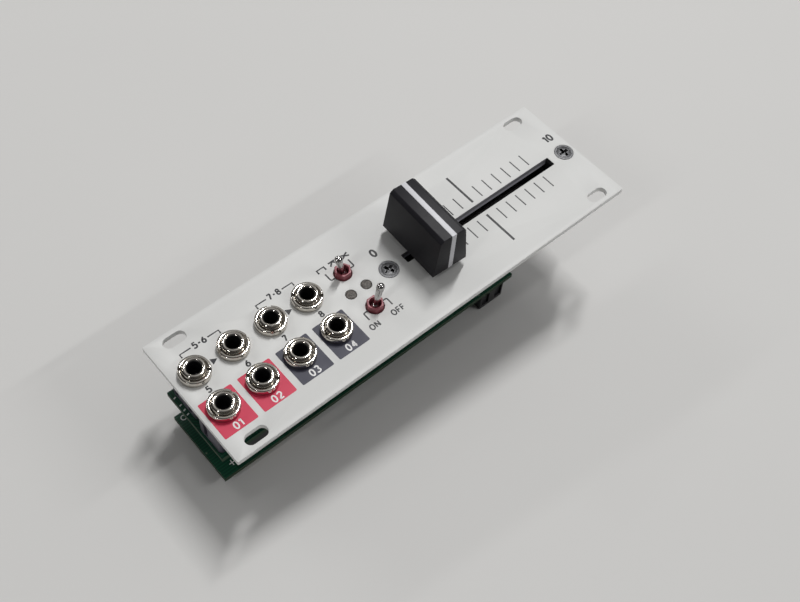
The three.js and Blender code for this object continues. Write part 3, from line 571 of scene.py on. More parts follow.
def plate(form, outline, bottom, top, holes=(), finish=0):
    edges = []
    for points in (outline, *holes):
        verts = [form.verts.new((x, y, top)) for x, y in points]
        edges += [form.edges.new((verts[i - 1], verts[i])) for i in range(len(verts))]
    settings = {"use_beauty": True, "use_dissolve": False, "normal": (0, 0, 1)}
    filled = bmesh.ops.triangle_fill(form, edges=edges, **settings)["geom"]
    faces = [item for item in filled if isinstance(item, bmesh.types.BMFace)]
    sunk = bmesh.ops.extrude_face_region(form, geom=faces)["geom"]
    verts = [item for item in sunk if isinstance(item, bmesh.types.BMVert)]
    bmesh.ops.translate(form, vec=(0, 0, bottom - top), verts=verts)
    for face in {face for vert in verts for face in vert.link_faces} | set(faces):
        face.material_index = finish


# %% [markdown]
# Outlines are lists of points: a circle, and a rectangle with round corners, which is a slot when
# its corners meet. A part that is easier to draw at the origin is put in its place afterwards.
# Edges are broken with a bevel where two faces meet sharply, and what a cutter takes away in a
# workshop, the Boolean modifier takes away here.

# %% Outlines, edges and cuts


def ring_points(place, radius, steps=48):
    x, y = place
    turn = 2 * math.pi / steps
    return [(x + radius * math.cos(turn * i), y + radius * math.sin(turn * i)) for i in range(steps)]


def rounded_points(place, width, length, corner, steps=6):
    """A rectangle with round corners"""
    x, y = place
    points = []
    for quarter, (side_x, side_y) in enumerate(((1, 1), (-1, 1), (-1, -1), (1, -1))):
        for step in range(steps + 1):
            angle = (quarter + step / steps) * math.pi / 2
            middle_x = x + side_x * (width / 2 - corner)
            middle_y = y + side_y * (length / 2 - corner)
            points.append((middle_x + corner * math.cos(angle), middle_y + corner * math.sin(angle)))
    return [point for i, point in enumerate(points) if math.dist(point, points[i - 1]) > 1e-6]


def put(form, place, degrees, axis="Z", height=0):
    """Turns a form that was drawn at the origin, and moves it to its place"""
    moving = Matrix.Translation((place.x, place.y, height))
    turning = Matrix.Rotation(math.radians(degrees), 4, axis)
    bmesh.ops.transform(form, matrix=moving @ turning, verts=form.verts)


def break_edges(form, width, least_angle, segments=2):
    """Bevels the edges that are sharper than an angle"""
    least = math.radians(least_angle)
    sharp = [edge for edge in form.edges if edge.is_manifold and edge.calc_face_angle(0) > least]
    settings = {"segments": segments, "profile": 0.5, "affect": "EDGES", "material": -1}
    bmesh.ops.bevel(form, geom=sharp, offset=width, clamp_overlap=True, **settings)


def carved(form, tool):
    """Cuts one closed form out of another"""
    for part in (form, tool):
        bmesh.ops.recalc_face_normals(part, faces=part.faces)
    pair = [as_object("carving", part) for part in (form, tool)]
    cut = pair[0].modifiers.new("cut", "BOOLEAN")
    cut.operation, cut.object, cut.solver = "DIFFERENCE", pair[1], "EXACT"
    result = bmesh.new()
    result.from_object(pair[0], bpy.context.evaluated_depsgraph_get())
    for holder in pair:
        bpy.data.objects.remove(holder)
    return result


def carved_by_blocks(form, *blocks):
    tool = bmesh.new()
    for start, end in blocks:
        block(tool, start, end)
    return carved(form, tool)


# %% [markdown]
# ## The panel
# A laser-cut and printed sheet: an outline with its holes, 1.6 mm thick, with the sharpness just
# taken off its edges. The seats of the two countersunk screws narrow towards the back, which is
# done by pulling in the lower ring of those two holes.

# %% Panel plate
RACK_SLOT_LENGTH, RACK_SLOT_WIDTH = 6.4, 3.3
RACK_SLOT_X, RACK_SLOT_Y = 58.39, 16.825
FADER_SLOT = (55.0, 3.0)
SLEEVE_HOLE, COLLAR_HOLE, PIPE_HOLE = 3.15, 2.55, 1.55
SEAT_RADIUS, SHANK_RADIUS = 2.9, 1.45
TOGGLES = {row: middle(f"toggle_collar_{row}") for row in ROWS}
JACK_PLACES = {jack: middle(f"jack_sleeve_{jack}") for jack in JACKS}
SCREWS = {side: middle(f"panel_screw_{side}") for side in ("left", "right")}


def panel_holes():
    holes = [ring_points(place.xy, SLEEVE_HOLE, 32) for place in JACK_PLACES.values()]
    holes += [ring_points(place.xy, COLLAR_HOLE, 40) for place in TOGGLES.values()]
    holes += [ring_points(place.xy, PIPE_HOLE, 32) for place in PIPES.values()]
    holes += [ring_points(place.xy, SEAT_RADIUS, 40) for place in SCREWS.values()]
    slot = (RACK_SLOT_LENGTH, RACK_SLOT_WIDTH, RACK_SLOT_WIDTH / 2, 8)
    for x in (-RACK_SLOT_X, RACK_SLOT_X):
        holes += [rounded_points((x, y), *slot) for y in (-RACK_SLOT_Y, RACK_SLOT_Y)]
    return [*holes, rounded_points(FADER_PLACE.xy, *FADER_SLOT, 0.3, 3)]


def panel_plate():
    form = bmesh.new()
    size = PANEL_HIGH - PANEL_LOW
    outline = rounded_points((0, 0), size.x, size.y, 0.35, 3)
    plate(form, outline, PANEL_BACK, PANEL_TOP, panel_holes())
    back = [vert for vert in form.verts if vert.co.z < PANEL_TOP - 1]
    pull = SHANK_RADIUS / SEAT_RADIUS
    for place in SCREWS.values():
        seat = [vert for vert in back if (vert.co.xy - place.xy).length < SEAT_RADIUS + 0.1]
        centre = Matrix.Translation((-place.x, -place.y, 0))
        bmesh.ops.scale(form, vec=(pull, pull, 1), space=centre, verts=seat)
    break_edges(form, 0.09, 40)
    return finished("panel_plate", form, ["painted_panel"], stands_for="panel")


panel = panel_plate()
print("panel plate with", len(panel.data.polygons), "faces")

# %% [markdown]
# ## The print
# Ink is a film about three hundredths of a millimetre thick. Lines are drawn as curves with a round
# section and then pressed flat, which gives them soft ends and corners as a squeegee does. The
# lettering of the real panel isn't copied: plain numbers and ON and OFF stand in its places.

# %% Lines of ink
INK_TOP, INK_HEIGHT = PANEL_TOP + 0.03, 0.06


def lines(paths, width):
    """Flat strokes of ink along paths of (x, y) points, pressed on the panel"""
    curve = bpy.data.curves.new("stroke", "CURVE")
    curve.dimensions = "3D"
    curve.bevel_depth = width / 2
    curve.bevel_resolution = 1
    curve.use_fill_caps = True
    for path in paths:
        spline = curve.splines.new("POLY")
        spline.points.add(len(path) - 1)
        for point, (x, y) in zip(spline.points, path):
            point.co = (x, y, 0, 1)
    holder = in_scene("stroke", curve)
    form = bmesh.new()
    form.from_mesh(bpy.data.meshes.new_from_object(holder))
    bpy.data.objects.remove(holder)
    bmesh.ops.remove_doubles(form, verts=form.verts, dist=1e-4)
    bmesh.ops.scale(form, vec=(1, 1, INK_HEIGHT / width), verts=form.verts)
    bmesh.ops.translate(form, vec=(0, 0, INK_TOP - INK_HEIGHT / 2), verts=form.verts)
    return form


def bend(corner, before, after, radius=0.45, steps=4):
    """Points that round a corner between two neighbours"""
    corner, before, after = Vector(corner), Vector(before), Vector(after)
    start = corner + (before - corner).normalized() * radius
    end = corner + (after - corner).normalized() * radius
    points = []
    for step in range(steps + 1):
        share = step / steps
        there, back = start.lerp(corner, share), corner.lerp(end, share)
        points.append(tuple(there.lerp(back, share)))
    return points


# %% [markdown]
# Thirteen ticks stand along the fader's slot on both sides, the middle one longer and bolder.
# Brackets join the jacks of a pair and the two ends of each switch, and three ramps over the upper
# switch show what its positions do. They are drawn in one cell, since all are only paths.

# %% Ticks, brackets and ramps
TICK_PITCH, TICK_COUNT, TICK_MIDDLE_X = 3.622, 13, 29.39
TICK_START, TICK_END, CENTRE_TICK_END = 2.75, 7.05, 13.6
fine, bold = [], []
for number in range(TICK_COUNT):
    from_middle = number - TICK_COUNT // 2
    tick_x = TICK_MIDDLE_X + from_middle * TICK_PITCH
    paths, end = (fine, TICK_END) if from_middle else (bold, CENTRE_TICK_END)
    paths += [[(tick_x, side * TICK_START), (tick_x, side * end)] for side in (-1, 1)]

BRACKET_Y, BRACKET_DROP, BRACKET_GAP = 12.35, 1.15, 2.5
column_x = {number: JACK_PLACES[f"upper_{number}"].x for number in (1, 2, 3, 4)}
pair_x = {first: (column_x[first] + column_x[first + 1]) / 2 for first in (1, 3)}
brackets = []
for first in (1, 3):
    for side, x in ((-1, column_x[first]), (1, column_x[first + 1])):
        gap = (pair_x[first] + side * BRACKET_GAP, BRACKET_Y)
        brackets.append([(x, BRACKET_Y - BRACKET_DROP), (x, BRACKET_Y), gap])

SWITCH_REACH, SWITCH_START = 3.82, 2.6
for row, drop in (("upper", 2.55), ("lower", -2.4)):
    switch = TOGGLES[row]
    for side in (-1, 1):
        start = (switch.x + side * SWITCH_START, switch.y)
        corner = (switch.x + side * SWITCH_REACH, switch.y)
        end = (corner[0], switch.y + drop)
        brackets.append([start, *bend(corner, start, end), end])

RAMP_Y, RAMP_HALF_WIDTH, RAMP_HEIGHT = 10.6, 1.15, 1.15
RAMPS = {
    -1: [[(-1, 0), (-1, 1), (1, 1), (1, 0)]],
    0: [[(-1, 1), (-0.1, 1), (1, 0)], [(1, 1), (0.1, 1), (-1, 0)]],
    1: [[(side, 1), (side * 0.35, 0.75), (-side * 0.35, 0.25), (-side, 0)] for side in (-1, 1)],
}
ramps = []
for column, strokes in RAMPS.items():
    x = TOGGLES["upper"].x + column * SWITCH_REACH
    for stroke in strokes:
        ramps.append([(x + u * RAMP_HALF_WIDTH, RAMP_Y + (v - 0.5) * RAMP_HEIGHT) for u, v in stroke])

for name, paths, width in (
    ("print_ticks", fine, 0.37),
    ("print_centre_ticks", bold, 0.7),
    ("print_brackets", brackets, 0.42),
    ("print_icons", ramps, 0.5),
):
    finished(name, lines(paths, width), ["dark_ink"])
print(len(fine), "ticks,", len(brackets), "bracket strokes")

# %% [markdown]
# The lower row of jacks stands on coloured squares. Each square has a hole under its nut, so that
# the film ends at the nut's edge and doesn't run through it. Two small triangles point from one
# jack of a pair to the next.

# %% Squares and triangles
SQUARE_WIDTH, SQUARE_LENGTH, SQUARE_Y = 9.6, 11.45, -7.62
SQUARE_SHIFT_X = 0.08
TRIANGLE_REACH, TRIANGLE_RISE = 0.85, 0.95
NUT_RADIUS = 4.15
for number in (1, 2, 3, 4):
    jack = JACK_PLACES[f"lower_{number}"]
    form = bmesh.new()
    square = (jack.x + SQUARE_SHIFT_X, SQUARE_Y)
    outline = rounded_points(square, SQUARE_WIDTH, SQUARE_LENGTH, 0.35, 3)
    hole = ring_points(jack.xy, NUT_RADIUS - 0.1)
    plate(form, outline, INK_TOP - INK_HEIGHT, INK_TOP, [hole])
    finish = "red_ink" if number < 3 else "slate_ink"
    finished(f"print_square_{number}", form, [finish])

form = bmesh.new()
y = JACK_PLACES["upper_1"].y
for x in pair_x.values():
    left, right = x - TRIANGLE_REACH, x + TRIANGLE_REACH
    outline = [(left, y - TRIANGLE_RISE), (right, y), (left, y + TRIANGLE_RISE)]
    plate(form, outline, INK_TOP - INK_HEIGHT, INK_TOP)
finished("print_triangles", form, ["dark_ink"])
print("four squares and two triangles")

# %% [markdown]
# Numbers and words are strokes too, so a bolder print is only a wider stroke. A character is drawn
# in a box one unit high, as straight runs and parts of ellipses, and its width goes with it. Where
# two runs meet in a sharp corner they are strokes of their own, so that the corner isn't pinched.

# %% Characters


def arc(x, y, half_width, half_height, start=0, end=360, steps=14):
    """Points along part of an ellipse, from one angle to another in degrees"""
    points = []
    for step in range(steps + 1):
        angle = math.radians(start + (end - start) * step / steps)
        points.append((x + half_width * math.cos(angle), y + half_height * math.sin(angle)))
    return points


CHARACTERS = {
    "0": (0.56, [arc(0.28, 0.5, 0.28, 0.5, steps=20)]),
    "1": (0.26, [[(0, 0.8), (0.26, 1)], [(0.26, 1), (0.26, 0)]]),
    "2": (0.56, [arc(0.28, 0.72, 0.27, 0.28, 165, -35) + [(0, 0)], [(0, 0), (0.56, 0)]]),
    "3": (0.56, [arc(0.26, 0.76, 0.24, 0.24, 150, -90), arc(0.26, 0.26, 0.3, 0.26, 90, -150)]),
    "4": (0.6, [[(0.44, 0), (0.44, 1)], [(0.44, 1), (0, 0.28)], [(0, 0.28), (0.6, 0.28)]]),
    "5": (0.56, [[(0.52, 1), (0.1, 1), (0.05, 0.52)], arc(0.25, 0.32, 0.3, 0.32, 140, -150)]),
    "6": (0.56, [arc(0.28, 0.3, 0.28, 0.3, steps=18), [(0.46, 1), (0.2, 0.72), (0.01, 0.38)]]),
    "7": (0.56, [[(0, 1), (0.56, 1)], [(0.56, 1), (0.18, 0)]]),
    "8": (0.56, [arc(0.28, 0.75, 0.22, 0.25, steps=16), arc(0.28, 0.26, 0.28, 0.26, steps=18)]),
    "-": (0.34, [[(0, 0.48), (0.34, 0.48)]]),
    "O": (0.76, [arc(0.38, 0.5, 0.38, 0.5, steps=22)]),
    "N": (0.66, [[(0, 0), (0, 1)], [(0, 1), (0.66, 0)], [(0.66, 0), (0.66, 1)]]),
    "F": (0.5, [[(0, 0), (0, 1), (0.5, 1)], [(0, 0.52), (0.44, 0.52)]]),
}
LETTER_GAP = 0.34


def words_as_paths(words, height):
    """The strokes of words given as (text, x, y), each centred on its place"""
    paths = []
    for text, x, y in words:
        reach = sum(CHARACTERS[letter][0] + LETTER_GAP for letter in text) - LETTER_GAP
        pen = -reach / 2
        for letter in text:
            width, strokes = CHARACTERS[letter]
            for stroke in strokes:
                paths.append([(x + (pen + u) * height, y + (v - 0.5) * height) for u, v in stroke])
            pen += width + LETTER_GAP
    return paths


print(len(CHARACTERS), "characters")

# %% [markdown]
# Each kind of label has its own size and weight. The white numbers on the squares are a second
# print over the first, so they lie a little higher.

# %% Numbers and words
SQUARE_NUMBER_Y, CHANNEL_NUMBER_Y = -11.85, 0.1
END_NUMBER_Y, SWITCH_WORD_Y = 6.5, -11.0
WHITE_LIFT = 0.02
square_words = [(f"0{n}", JACK_PLACES[f"lower_{n}"].x, SQUARE_NUMBER_Y) for n in (1, 2, 3, 4)]
channel_words = [(str(n + 4), x, CHANNEL_NUMBER_Y) for n, x in column_x.items()]
channel_words += [("5-6", pair_x[1], BRACKET_Y), ("7-8", pair_x[3], BRACKET_Y)]
end_words = [("0", SCREWS["left"].x, END_NUMBER_Y), ("10", SCREWS["right"].x, END_NUMBER_Y)]
switch_x = TOGGLES["lower"].x
switch_words = [("ON", switch_x - SWITCH_REACH, SWITCH_WORD_Y)]
switch_words += [("OFF", switch_x + SWITCH_REACH, SWITCH_WORD_Y)]
for name, words, finish, height, width in (
    ("print_square_numbers", square_words, "white_ink", 1.85, 0.5),
    ("print_channel_numbers", channel_words, "dark_ink", 1.65, 0.46),
    ("print_fader_numbers", end_words, "dark_ink", 2.2, 0.62),
    ("print_switch_words", switch_words, "dark_ink", 1.55, 0.38),
):
    form = lines(words_as_paths(words, height), width)
    if finish == "white_ink":
        bmesh.ops.translate(form, vec=(0, 0, WHITE_LIFT), verts=form.verts)
    finished(name, form, [finish])
print("numbers printed")

# %% [markdown]
# ## Jacks
# Each jack is a housing behind the panel, a threaded sleeve that comes through it, and a round nut
# with two slots for its driver. The sleeve's thread is a row of fine rings; its bore is painted near
# black, as the shade down the hole. Every nut was left at its own turn, which the frame's nuts show
# and this list repeats.

# %% Sleeves and nuts
NUT_TURNS = {"lower": (20, -45, -21, 3), "upper": (-39, -3, 60, -40)}
SLEEVE_RADIUS, BORE_RADIUS, THREAD_PITCH, THREAD_DEPTH = 2.95, 1.8, 0.3, 0.1
THREAD_START, THREAD_END = 0.9, 0.5
NUT_BORE, DRIVER_SLOT_WIDTH, DRIVER_SLOT_DEPTH = 3.1, 1.0, 0.85
# How a sleeve and a nut end at the top: how far in from the outside, and how far down
SLEEVE_RIM = ((0.1, 0.42), (0.12, 0.16), (0.25, 0.04), (0.4, 0), (0.63, 0), (0.75, 0.03), (1.0, 0.25))
NUT_RIM = ((0, 0.3), (0.06, 0.14), (0.16, 0.04), (0.28, 0), (0.68, 0), (0.78, 0.05))


def sleeve(jack):
    place = JACK_PLACES[jack].xy
    low, high = corners(f"jack_sleeve_{jack}")
    root = SLEEVE_RADIUS - THREAD_DEPTH
    profile = [(BORE_RADIUS, low.z), (root, low.z)]
    height = PANEL_TOP + THREAD_START
    while height < high.z - THREAD_END:
        profile += [(root, height), (SLEEVE_RADIUS, height + THREAD_PITCH / 2)]
        height += THREAD_PITCH
    profile += [(SLEEVE_RADIUS - inset, high.z - drop) for inset, drop in SLEEVE_RIM]
    # The bore is painted near black, as the shade down the hole
    bore = [profile[-1], (BORE_RADIUS, high.z - 0.45), (BORE_RADIUS, low.z)]
    form = bmesh.new()
    turned(form, place, profile, 56)
    turned(form, place, bore, 56, finish=1)
    bmesh.ops.remove_doubles(form, verts=form.verts, dist=1e-4)
    finished(f"sleeve_{jack}", form, ["nickel", "painted_bore_shade"], stands_for=f"jack_sleeve_{jack}")


def nut(jack, turn):
    place = JACK_PLACES[jack]
    low, high = corners(f"jack_nut_{jack}")
    profile = [(NUT_BORE, low.z), (NUT_RADIUS - 0.1, low.z), (NUT_RADIUS, low.z + 0.1)]
    profile += [(NUT_RADIUS - inset, high.z - drop) for inset, drop in NUT_RIM]
    profile += [(NUT_BORE, high.z - 0.45), (NUT_BORE, low.z)]
    form = bmesh.new()
    turned(form, place.xy, profile, 72)
    tool = bmesh.new()
    half = DRIVER_SLOT_WIDTH / 2
    reach = NUT_RADIUS + 0.85
    block(tool, (-reach, -half, high.z - DRIVER_SLOT_DEPTH), (reach, half, high.z + 1))
    put(tool, place, turn)
    finished(f"nut_{jack}", carved(form, tool), ["nickel"], stands_for=f"jack_nut_{jack}")


for jack in JACKS:
    row, number = jack.split("_")
    sleeve(jack)
    nut(jack, NUT_TURNS[row][int(number) - 1])
print("eight sleeves and nuts")

# %% [markdown]
# The housing is a moulded block with broken corners. A tall window on one end shows the contact
# spring, grooves run down its sides, and three pins go through the board to round beads of
# solder. Each is drawn at the origin, window towards -Y, and turned as its row lies in the
# frame: a quarter turn for the lower row, so its windows look along the panel.

# %% Jack housings
HOUSING_WIDTH, HOUSING_LENGTH, HOUSING_CORNER = 9.0, 10.5, 0.9
WINDOW_X, WINDOW_HALF_WIDTH, WINDOW_SILL, WINDOW_TOP = -1.4, 0.8, 1.2, 7.8
GROOVE_DEPTH, GROOVE_WIDTH, GROOVE_STARTS = 0.5, 1.4, (-3.6, 2.2)
HOUSING_TURNS = {"lower": -90, "upper": 180}
PIN_PLACES = ((0, 4.6), (0, -1.2), (0, -4.3))
PIN_DROP = 1.3
BOARD_BACK = corners("upper_board")[0].z


def solder_bead(form, x, y):
    """A bead under the upper board, round the end of a pin"""
    steps = ((0, 0.95), (0.38, 0.9), (0.6, 0.45), (0.92, 0), (0, 0))
    turned(form, (x, y), [(radius, BOARD_BACK - drop) for radius, drop in steps], 20)


def housing_shell(low, high):
    form = bmesh.new()
    outline = rounded_points((0, 0), HOUSING_WIDTH, HOUSING_LENGTH, HOUSING_CORNER, 3)
    plate(form, outline, low.z, high.z)
    break_edges(form, 0.15, 50)
    left, right = WINDOW_X - WINDOW_HALF_WIDTH, WINDOW_X + WINDOW_HALF_WIDTH
    window_start = (left, -HOUSING_LENGTH / 2 - 1, low.z + WINDOW_SILL)
    cuts = [(window_start, (right, -1.2, low.z + WINDOW_TOP))]
    for side in (-1, 1):
        floor, outside = side * (HOUSING_WIDTH / 2 - GROOVE_DEPTH), side * HOUSING_WIDTH
        for y in GROOVE_STARTS:
            cuts.append(((floor, y, low.z + 1.5), (outside, y + GROOVE_WIDTH, high.z - 1.4)))
    form = carved_by_blocks(form, *cuts)
    socket = [(0, low.z + 1.5), (2.1, low.z + 1.5), (2.1, high.z - 1)]
    socket += [(3.1, high.z - 1), (3.1, high.z + 0.5), (0, high.z + 0.5)]
    tool = bmesh.new()
    turned(tool, (0, 0), socket)
    return carved(form, tool)


def contacts(low):
    """The spring behind the window, and the pins with their solder"""
    form = bmesh.new()
    spring_y = -HOUSING_LENGTH / 2 + 1.1
    spring_start = (WINDOW_X - 0.55, spring_y, low.z + WINDOW_SILL + 0.05)
    block(form, spring_start, (WINDOW_X + 0.55, spring_y + 0.25, low.z + WINDOW_TOP - 0.6), 0.05)
    for x, y in PIN_PLACES:
        block(form, (x - 0.35, y - 0.15, BOARD_BACK - PIN_DROP), (x + 0.35, y + 0.15, BOARD_BACK), 0.04)
        solder_bead(form, x, y)
    return form


for jack, place in JACK_PLACES.items():
    turn = HOUSING_TURNS[jack.split("_")[0]]
    low, high = corners(f"jack_body_{jack}")
    form = housing_shell(low, high)
    put(form, place, turn)
    finished(f"housing_{jack}", form, ["jack_plastic"], stands_for=f"jack_body_{jack}")
    form = contacts(low)
    put(form, place, turn)
    finished(f"contacts_{jack}", form, ["solder"])
print("eight housings with their contacts")

# %% [markdown]
# ## Toggle switches
# A switch is a red moulded bush with six sides, open at the top, with a plated lever that swells
# from a thin neck to a round tip. The lever is turned upright about its pivot and then leaned, and
# it rides on a body of its own.

# %% Collars and levers
LEAN = {"upper": -12, "lower": 12}
PIVOT_RISE = 0.1
COLLAR_RADIUS, COLLAR_BORE = 2.35, 1.635
BALL_RADIUS, TIP_RADIUS, TIP_HEIGHT = 1.22, 1.1, 7.2
SWITCH_PIN_PITCH = 2.5


def collar(row):
    place = TOGGLES[row].xy
    low, high = corners(f"toggle_collar_{row}")
    form = bmesh.new()
    plate(form, ring_points(place, COLLAR_RADIUS, 6), low.z, high.z, [ring_points(place, COLLAR_BORE)])
    break_edges(form, 0.08, 35)
    finished(f"collar_{row}", form, ["red_plastic"], stands_for=f"toggle_collar_{row}")


def lever(row):
    profile = [(0, -3.2), (0.6, -3.2), (0.65, -3.1), (0.65, -1.1)]
    profile += arc(0, 0, BALL_RADIUS, BALL_RADIUS, -60, 54, 8)
    profile += [(0.8, 1.25), (0.8, 2.2), (0.86, 4.2), (0.97, 5.8), (1.06, 6.7)]
    profile += arc(0, TIP_HEIGHT, TIP_RADIUS, TIP_RADIUS, 0, 90, 9)
    profile[-1] = (0, TIP_HEIGHT + TIP_RADIUS)
    form = bmesh.new()
    turned(form, (0, 0), profile, 40)
    put(form, TOGGLES[row], LEAN[row], "Y", PANEL_TOP + PIVOT_RISE)
    body, node = f"{row}_lever", f"toggle_lever_{row}"
    finished(f"lever_{row}", form, ["lever_metal"], body=body, stands_for=node)


def switch_pins(row):
    form = bmesh.new()
    y = TOGGLES[row].y
    for x in (TOGGLES[row].x + shift for shift in (-SWITCH_PIN_PITCH, 0, SWITCH_PIN_PITCH)):
        block(form, (x - 0.3, y - 0.3, BOARD_BACK - PIN_DROP), (x + 0.3, y + 0.3, BOARD_BACK), 0.05)
        solder_bead(form, x, y)
    finished(f"switch_pins_{row}", form, ["solder"])


for row in ROWS:
    collar(row)
    lever(row)
    switch_pins(row)
print("two switches")

# %% [markdown]
# ## Light pipes and screws
# A light pipe is a short rod with a faintly domed end, flush with the panel, and a wider foot that
# stands on the board. Its outline from the axis outwards is all that a spin needs.

# %% Light pipes
for node, place in PIPES.items():
    low, high = corners(node)
    form = bmesh.new()
    profile = [(0, low.z), (2.2, low.z), (2.2, low.z + 2.1), (2.1, low.z + 2.2), (1.4, low.z + 2.2)]
    profile += [(1.4, high.z - 0.2), (1.37, high.z - 0.11), (1.28, high.z - 0.06)]
    profile += [(1.0, high.z - 0.02), (0.5, high.z), (0, high.z)]
    turned(form, place.xy, profile)
    finished(f"pipe_{node.split('_')[-1]}", form, ["smoked_plastic"], stands_for=node)
print("two light pipes")

# %% [markdown]
# A panel screw has a flat head with a turned rim and a cross recess whose walls slope in. The
# recess is cut by a block with a smaller foot, once along each arm, and each screw was left at
# its own turn.

# %% Panel screws
CROSS_TURNS = {"left": 24, "right": 3}
CROSS_LENGTH, CROSS_WIDTH, CROSS_DEPTH = 3.5, 1.05, 0.95


def cross_arm(top):
    """One arm of the cross, narrower at its foot"""
    form = bmesh.new()
    half_length, half_width = CROSS_LENGTH / 2, CROSS_WIDTH / 2
    block(form, (-half_length, -half_width, top - CROSS_DEPTH), (half_length, half_width, top + 0.4))
    foot = [vert for vert in form.verts if vert.co.z < top - 0.5]
    bmesh.ops.scale(form, vec=(0.55, 0.6, 1), verts=foot)
    return form


for side, place in SCREWS.items():
    low, high = corners(f"panel_screw_{side}")
    form = bmesh.new()
    profile = [(0, low.z), (1.15, low.z), (1.3, low.z + 0.2), (1.3, high.z - 1.4), (2.7, high.z - 0.28)]
    profile += [(2.75, high.z - 0.2), (2.75, high.z - 0.07), (2.69, high.z - 0.01), (2.6, high.z)]
    profile += [(2.2, high.z), (2.12, high.z - 0.06), (2.0, high.z - 0.06), (1.9, high.z), (0, high.z)]
    turned(form, place.xy, profile, 56)
    for quarter in (0, 90):
        arm = cross_arm(high.z)
        put(arm, place, CROSS_TURNS[side] + quarter)
        form = carved(form, arm)
    finished(f"screw_{side}", form, ["screw_steel"], stands_for=f"panel_screw_{side}")
print("two screws")

# %% [markdown]
# ## Fader cap
# The cap is a wedge with flat ends and a flat top, whose two long edges are sloped off. A white line
# runs over the top and down both ends, a little to the right of the middle. Both are drawn once as
# an outline and pushed along; the cap's lower corners are then pushed out, because the ends lean a
# little. The line is a separate strap let into it.

# %% Cap and its line
CAP_TURN = -2.4
CAP_LIFT, CAP_TOP = 2.2, 15.65
CAP_EDGE_HEIGHT, CAP_EDGE_RUN = 0.85, 1.0
CAP_HALF_BASE, CAP_HALF_TOP = 5.7, 4.15
CAP_END_BASE, CAP_END_TOP = 10.5, 10.38
STEM_SOCKET = (3.3, 1.2, 9.9)
LINE_MIDDLE, LINE_HALF, LINE_RISE = 0.2, 0.74, 0.03
STEM_PLACE = middle("fader_stem")


def pushed(outline, push):
    """A closed outline pushed along a vector"""
    form = bmesh.new()
    face = form.faces.new([form.verts.new(point) for point in outline])
    swept = bmesh.ops.extrude_face_region(form, geom=[face])["geom"]
    moved = [item for item in swept if isinstance(item, bmesh.types.BMVert)]
    bmesh.ops.translate(form, vec=push, verts=moved)
    bmesh.ops.recalc_face_normals(form, faces=form.faces)
    return form


def cap():
    crown = CAP_TOP - LINE_RISE
    shoulder = (CAP_HALF_TOP, crown - CAP_EDGE_HEIGHT)
    right = [(CAP_HALF_BASE, CAP_LIFT), shoulder, (CAP_HALF_TOP - CAP_EDGE_RUN, crown)]
    outline = right + [(-x, z) for x, z in reversed(right)]
    form = pushed([(x, -CAP_END_TOP, z) for x, z in outline], (0, 2 * CAP_END_TOP, 0))
    base = [vert for vert in form.verts if vert.co.z < CAP_LIFT + 0.1]
    bmesh.ops.scale(form, vec=(1, CAP_END_BASE / CAP_END_TOP, 1), verts=base)
    break_edges(form, 0.16, 24, 3)
    x, y, top = STEM_SOCKET
    form = carved_by_blocks(form, ((-x, -y, CAP_LIFT - 0.5), (x, y, top)))
    put(form, STEM_PLACE, CAP_TURN, height=PANEL_TOP)
    return finished("cap", form, ["cap_plastic"], body="fader", stands_for="fader_cap")


def cap_line():
    outer = [(-CAP_END_BASE - 0.01, CAP_LIFT + 0.1), (-CAP_END_TOP - 0.02, CAP_TOP)]
    outer += [(-y, z) for y, z in reversed(outer)]
    inner = [(y * 0.98, z - 0.2 if z > CAP_TOP / 2 else z) for y, z in reversed(outer)]
    left = LINE_MIDDLE - LINE_HALF
    form = pushed([(left, y, z) for y, z in outer + inner], (2 * LINE_HALF, 0, 0))
    break_edges(form, 0.04, 40)
    put(form, STEM_PLACE, CAP_TURN, height=PANEL_TOP)
    finished("cap_line", form, ["line_plastic"], "fader")


black_cap = cap()
cap_line()
print("cap", [round(side / MM, 1) for side in black_cap.dimensions], "mm")

# %% [markdown]
# ## Pin headers
# Standard headers: a black strip notched between the pins, gold pins with blunt points, and a
# socket above it. All follow the 2.54 mm grid, so a loop places them. A point is made by insetting
# the end of a square pin and drawing the smaller face out.

# %% Headers between the boards
PITCH, PIN_HALF, PIN_POINT = 2.54, 0.32, 0.25
STRIP_HEIGHT, STRIP_NOTCH = 2.5, 0.35
SOCKET_HOLE_HALF, SOCKET_HOLE_DEPTH = 0.62, 6.3
BOARD_LOW, BOARD_HIGH = corners("lower_board")


def pin(form, x, y, low, high):
    """A gold pin between two heights, with its points past them"""
    start = (x - PIN_HALF, y - PIN_HALF, low)
    for face in block(form, start, (x + PIN_HALF, y + PIN_HALF, high), finish=1):
        if abs(face.normal.z) > 0.9:
            outwards = math.copysign(PIN_POINT, face.calc_center_median().z - (low + high) / 2)
            rim = bmesh.ops.inset_region(form, faces=[face], thickness=0.12, depth=0)["faces"]
            bmesh.ops.translate(form, vec=(0, 0, outwards), verts=face.verts)
            for side in rim:
                side.material_index = 1


def grid(centre, count, along_x=True):
    """The places of two rows of pins"""
    places = []
    for row in (-0.5, 0.5):
        for number in range(count):
            along, across = (number - (count - 1) / 2) * PITCH, row * PITCH
            x, y = (along, across) if along_x else (across, along)
            places.append((centre.x + x, centre.y + y))
    return places


def strip_outline(centre, count):
    """Two rows of cells side by side, notched where they meet"""
    outline = []
    half = count * PITCH / 2
    for edge, sign in ((-1, 1), (1, -1)):
        for number in range(count):
            start = sign * (number * PITCH - half)
            notches = ((start, STRIP_NOTCH), (start + sign * STRIP_NOTCH, 0))
            notches += ((start + sign * (PITCH - STRIP_NOTCH), 0),)
            outline += [(centre.x + x, centre.y + edge * (PITCH - inset)) for x, inset in notches]
        outline.append((centre.x + sign * half, centre.y + edge * (PITCH - STRIP_NOTCH)))
    return outline


